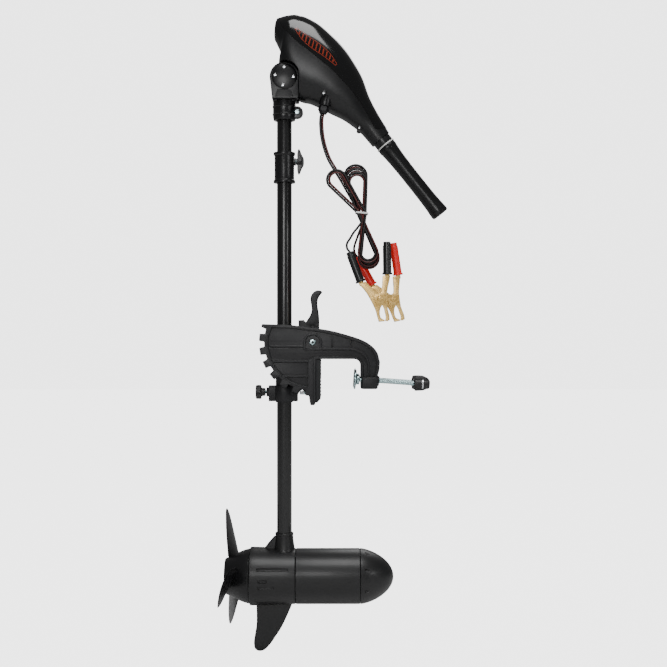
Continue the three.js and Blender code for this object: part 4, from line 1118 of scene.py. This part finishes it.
give(make_lever(), "lever", "release_lever", slot="nylon")


def make_lock():
    seat = on_circle(BOLT, 87.6, notch(NOTCHES - 1))
    bar = rod("bar", (ROD_X, 0, -12), (ROD_X, 0, 86.8), 2.4, "zinc", 24)
    stop = rod("stop", (ROD_X, 0, 50.5), (ROD_X, 0, 53.5), 4.6, "zinc", 32)
    eye = block("eye", (seat[0] - 5.4, seat[0] + 5.4), (-6.8, 6.8), (seat[1] - 5.8, seat[1] + 12), "zinc",
        1.4)
    pin = rod("lock pin", (seat[0], -32, seat[1]), (seat[0], 32, seat[1]), 3.75, "steel", 36, edge=0.7)
    return joined("lock rod", bar, stop, eye), pin


lock_bar, lock_end = make_lock()
give(lock_bar, "lock", "lock_rod", slot="zinc")
give(lock_end, "lock", "lock_pin", slot="steel")
give(upright("steering sleeve", [(13.3, -42), (15.2, -42), (15.2, 80.4), (18.2, 80.4), (18.2, 83.5),
    (13.3, 83.5)], "nylon", 64, 0.4), "swivel", "steering_sleeve", slot="nylon")


def make_tension_knob():
    def lobes(angle, distance):
        return 1 + (0.09 * math.cos(angle * 8) if distance < 10.5 else 0)
    head = lathe("knob", [(0, 0), (9.5, 0), (11.2, 1.2), (11.4, 8.6), (10.2, 10), (7, 10.2), (6.9, 16),
        (6.2, 17), (0, 17)], (-114, 0, -24.3), (1, 0, 0), "paint", 96, 0.3, wobble=lobes, sharp=50)
    stud = threaded("stud", (-98, 0, -24.3), (1, 0, 0), 18.2, 3, 1.0, 0.35, "zinc", 24, 6)
    return joined("tension knob", head, stud)


give(make_tension_knob(), "tension", "tension_knob", slot="matte")

# ---------------------------------------------------------------- battery clips
CLIPS = [
    ("black", -91.5, (98.9, 136.2), 0, [(48.6, 213.7), (67.4, 163.5)], [(110.8, 230.7), (111.5, 176.2)]),
    ("red", -53, (122.4, 136.2), 7, [(62.2, 207.7), (88.3, 160.2)], [(123.4, 231.8), (131.6, 177.1)]),
]
# pressed jaws about their rivet: the bent-over back edge first, then the inner edge back to the sleeve
BACK = {"fixed": [(-34.7, 24), (-27.6, 16.6), (-21.4, 8.4), (-16, -0.8), (-11.8, -9), (-8, -16.8), (-5.6, -24),
                  (-4.1, -30.1), (-1.5, -39)],
        "moving": [(17.5, 38.2), (15.9, 29), (13.9, 20.4), (12.4, 12), (12, 5.8), (12, -4), (12.5, -14.1),
                   (14.0, -21), (15.9, -27.4), (16.5, -36.4)]}
FRONT = {"fixed": [(8.4, -38), (8.4, -35.8), (4.6, -34.2), (1.4, -32), (0.1, -27), (-0.1, -21), (1.2, -15.6),
                   (4.6, -10.4), (8.4, -5), (9.4, 0.6), (7.2, 6.2), (2.6, 9), (-2.6, 8.4), (-6.6, 11.4),
                   (-10.9, 15.8), (-24.3, 28.2)],
         "moving": [(9.3, -38), (9.3, -35.8), (10.2, -32), (9.8, -28), (8.6, -24), (7.3, -17.2), (4.7, -11.4),
                    (-0.9, -8.3), (-6, -5.6), (-8, 0.4), (-5, 6), (0.2, 8), (2.6, 11), (3.6, 16), (4.9, 38.2)]}


def clip_sleeve(name, handle, y, finish_name):
    """A soft sleeve over a clip's handle, flared at its inner end."""
    outer, inner = (Vector((p[0], y, p[1])) for p in handle)
    length = (inner - outer).length
    profile = [(4.4, 0), (5.7, 0), (6.1, 1.2), (6.15, 6), (6.9, 7.2), (7.0, length - 3.4),
        (8.4, length - 2.6), (8.6, length - 0.6), (8.2, length), (4.4, length)]
    return lathe(name, profile, outer, inner - outer, finish_name, 56, 0.4)


def clip_arm(name, handle, pivot, y, lean, fixed):
    """A pressed sheet jaw: two broad cheeks, a bent-over back edge, a toothed lip and a rivet."""
    outer, inner = (Vector((p[0], y, p[1])) for p in handle)
    half, wall = (6.0, 1.3) if fixed else (4.3, 1.3)
    side = "fixed" if fixed else "moving"
    spin = Matrix.Rotation(math.radians(lean), 2)

    def placed(points):
        return [tuple(Vector(pivot) + spin @ Vector(p)) for p in points]

    back, front = BACK[side], FRONT[side]
    outline = placed(back + front)
    cheeks = [plate("cheek", outline, *sorted((y + s * (half - wall), y + s * half)), "brass", 0.45,
        corner=1.0) for s in (-1, 1)]
    shift = 1.3 if fixed else -1.3
    edge = placed(back) + placed([(x + shift, z) for x, z in back])[::-1]
    parts = [*cheeks, plate("back edge", edge, y - half + 0.3, y + half - 0.3, "brass", 0.3)]
    # pressed rib down each cheek, then teeth across the mouth
    low, high = ((-12.5, 7), (-4, -14)) if fixed else ((9.2, 18), (9.4, -8))
    for s in (-1, 1):
        ends = [(x, y + s * (half - 0.35), z) for x, z in placed([low, high])]
        parts.append(rod("rib", *ends, 1.0, "brass", 12))
    tooth = 1 if fixed else -1
    for n in range(5):
        across = y - half + 1.1 + n * (2 * half - 2.2) / 4
        tip_x = 8.35 if fixed else 9.35
        parts.append(plate("tooth", placed([(tip_x - tooth * 4.2, -38), (tip_x, -37.6), (tip_x, -36.4),
            (tip_x - tooth * 4.2, -35.0)]), across - 0.75, across + 0.75, "brass", 0.25))
    along = (inner - outer).normalized()
    parts.append(rod("shank", outer.lerp(inner, 0.3), inner + along * 6, 4, "brass", 28))
    if fixed:
        for s in (-1, 1):
            parts.append(lathe("rivet", [(0, 0), (4.2, 0), (4.0, 1.0), (2.2, 1.7), (0, 1.8)],
                (pivot[0], y + s * half, pivot[1]), (0, s, 0), "brass", 32, 0.3))
        parts.append(rod("rivet shank", (pivot[0], y - half, pivot[1]), (pivot[0], y + half, pivot[1]), 2,
            "brass", 20))
    return joined(name, *parts)


for colour, y, pivot, lean, fixed, moving in CLIPS:
    finish_name = f"{colour}_sleeve"
    fixed_arm = clip_arm(f"{colour} clip fixed arm", fixed, pivot, y, lean, True)
    moving_arm = clip_arm(f"{colour} clip moving arm", moving, pivot, y, lean, False)
    give(fixed_arm, "head", f"clip_{colour}_fixed_arm", slot="brass")
    give(moving_arm, f"clip_{colour}_jaw", f"clip_{colour}_moving_arm", slot="brass")
    fixed_sleeve = clip_sleeve(f"{colour} clip fixed sleeve", fixed, y, finish_name)
    moving_sleeve = clip_sleeve(f"{colour} clip moving sleeve", moving, y, finish_name)
    give(fixed_sleeve, "head", f"clip_{colour}_fixed_sleeve", slot=finish_name)
    give(moving_sleeve, f"clip_{colour}_jaw", f"clip_{colour}_moving_sleeve", slot=finish_name)

# ---------------------------------------------------------------- hidden pieces keep their CAD shape
INSIDE = {"speed_switch": "matte", "motor_shaft": "steel", "armature": "copper", "magnet_near": "ceramic",
          "magnet_far": "ceramic", "front_bearing": "steel", "rear_bearing": "steel", "drive_pin": "steel"}
for node_name, finish_name in INSIDE.items():
    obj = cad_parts[node_name]
    obj.data.materials.clear()
    obj.data.materials.append(FINISH[finish_name])

# ---------------------------------------------------------------- studio
LOWEST = -0.4772  # the skeg's tip stands on the floor
SIDE = 9


def make_studio():
    floor_material = bpy.data.materials.new("pale floor")
    floor_material.use_nodes = True
    tree = floor_material.node_tree
    paper = tree.nodes["Principled BSDF"]
    paper.inputs["Base Color"].default_value = srgb("#f4f4f4")
    paper.inputs["Roughness"].default_value = 0.9
    glow = add(tree, "ShaderNodeEmission", Strength=4.45)
    view = add(tree, "ShaderNodeLightPath")
    share = add(tree, "ShaderNodeMath", {0: view.outputs["Is Camera Ray"]}, operation="MULTIPLY")
    share.inputs[1].default_value = 0.8
    both = add(tree, "ShaderNodeMixShader", {0: share.outputs[0], 1: paper.outputs[0], 2: glow.outputs[0]})
    tree.links.new(both.outputs[0], tree.nodes["Material Output"].inputs["Surface"])
    z = LOWEST
    mesh = bpy.data.meshes.new("floor")
    mesh.from_pydata([(-SIDE, -SIDE, z), (SIDE, -SIDE, z), (SIDE, SIDE, z), (-SIDE, SIDE, z)], [],
        [(0, 1, 2, 3)])
    mesh.materials.append(floor_material)
    floor = bpy.data.objects.new("floor", mesh)
    scene.collection.objects.link(floor)
    world = bpy.data.worlds.new("studio")
    world.use_nodes = True
    tree = world.node_tree
    soft = tree.nodes["Background"]
    soft.inputs["Color"].default_value = srgb("#ffffff")
    soft.inputs["Strength"].default_value = 0.2
    white = add(tree, "ShaderNodeBackground", Strength=4.2)
    view = add(tree, "ShaderNodeLightPath")
    both = add(tree, "ShaderNodeMixShader", {0: view.outputs["Is Camera Ray"], 1: soft.outputs[0],
        2: white.outputs[0]})
    tree.links.new(both.outputs[0], tree.nodes["World Output"].inputs["Surface"])
    scene.world = world
    for name, place, aim, size, power in (("key", (-0.3, -2.5, 0.6), (0, 0, 0.1), 0.7, 16),
            ("top", (0.2, -1.0, 2.3), (0, 0, 0.1), 1.3, 42), ("fill", (2.0, -1.6, 0.5), (0, 0, 0.1), 0.5, 7),
            ("rim", (0.6, 1.9, 1.5), (0, 0, 0.2), 1.2, 14)):
        light = bpy.data.lights.new(name, "AREA")
        light.size = size
        light.energy = power
        obj = bpy.data.objects.new(name, light)
        obj.location = place
        direction = Vector(aim) - Vector(place)
        obj.rotation_euler = direction.to_track_quat("-Z", "Y").to_euler()
        scene.collection.objects.link(obj)


make_studio()
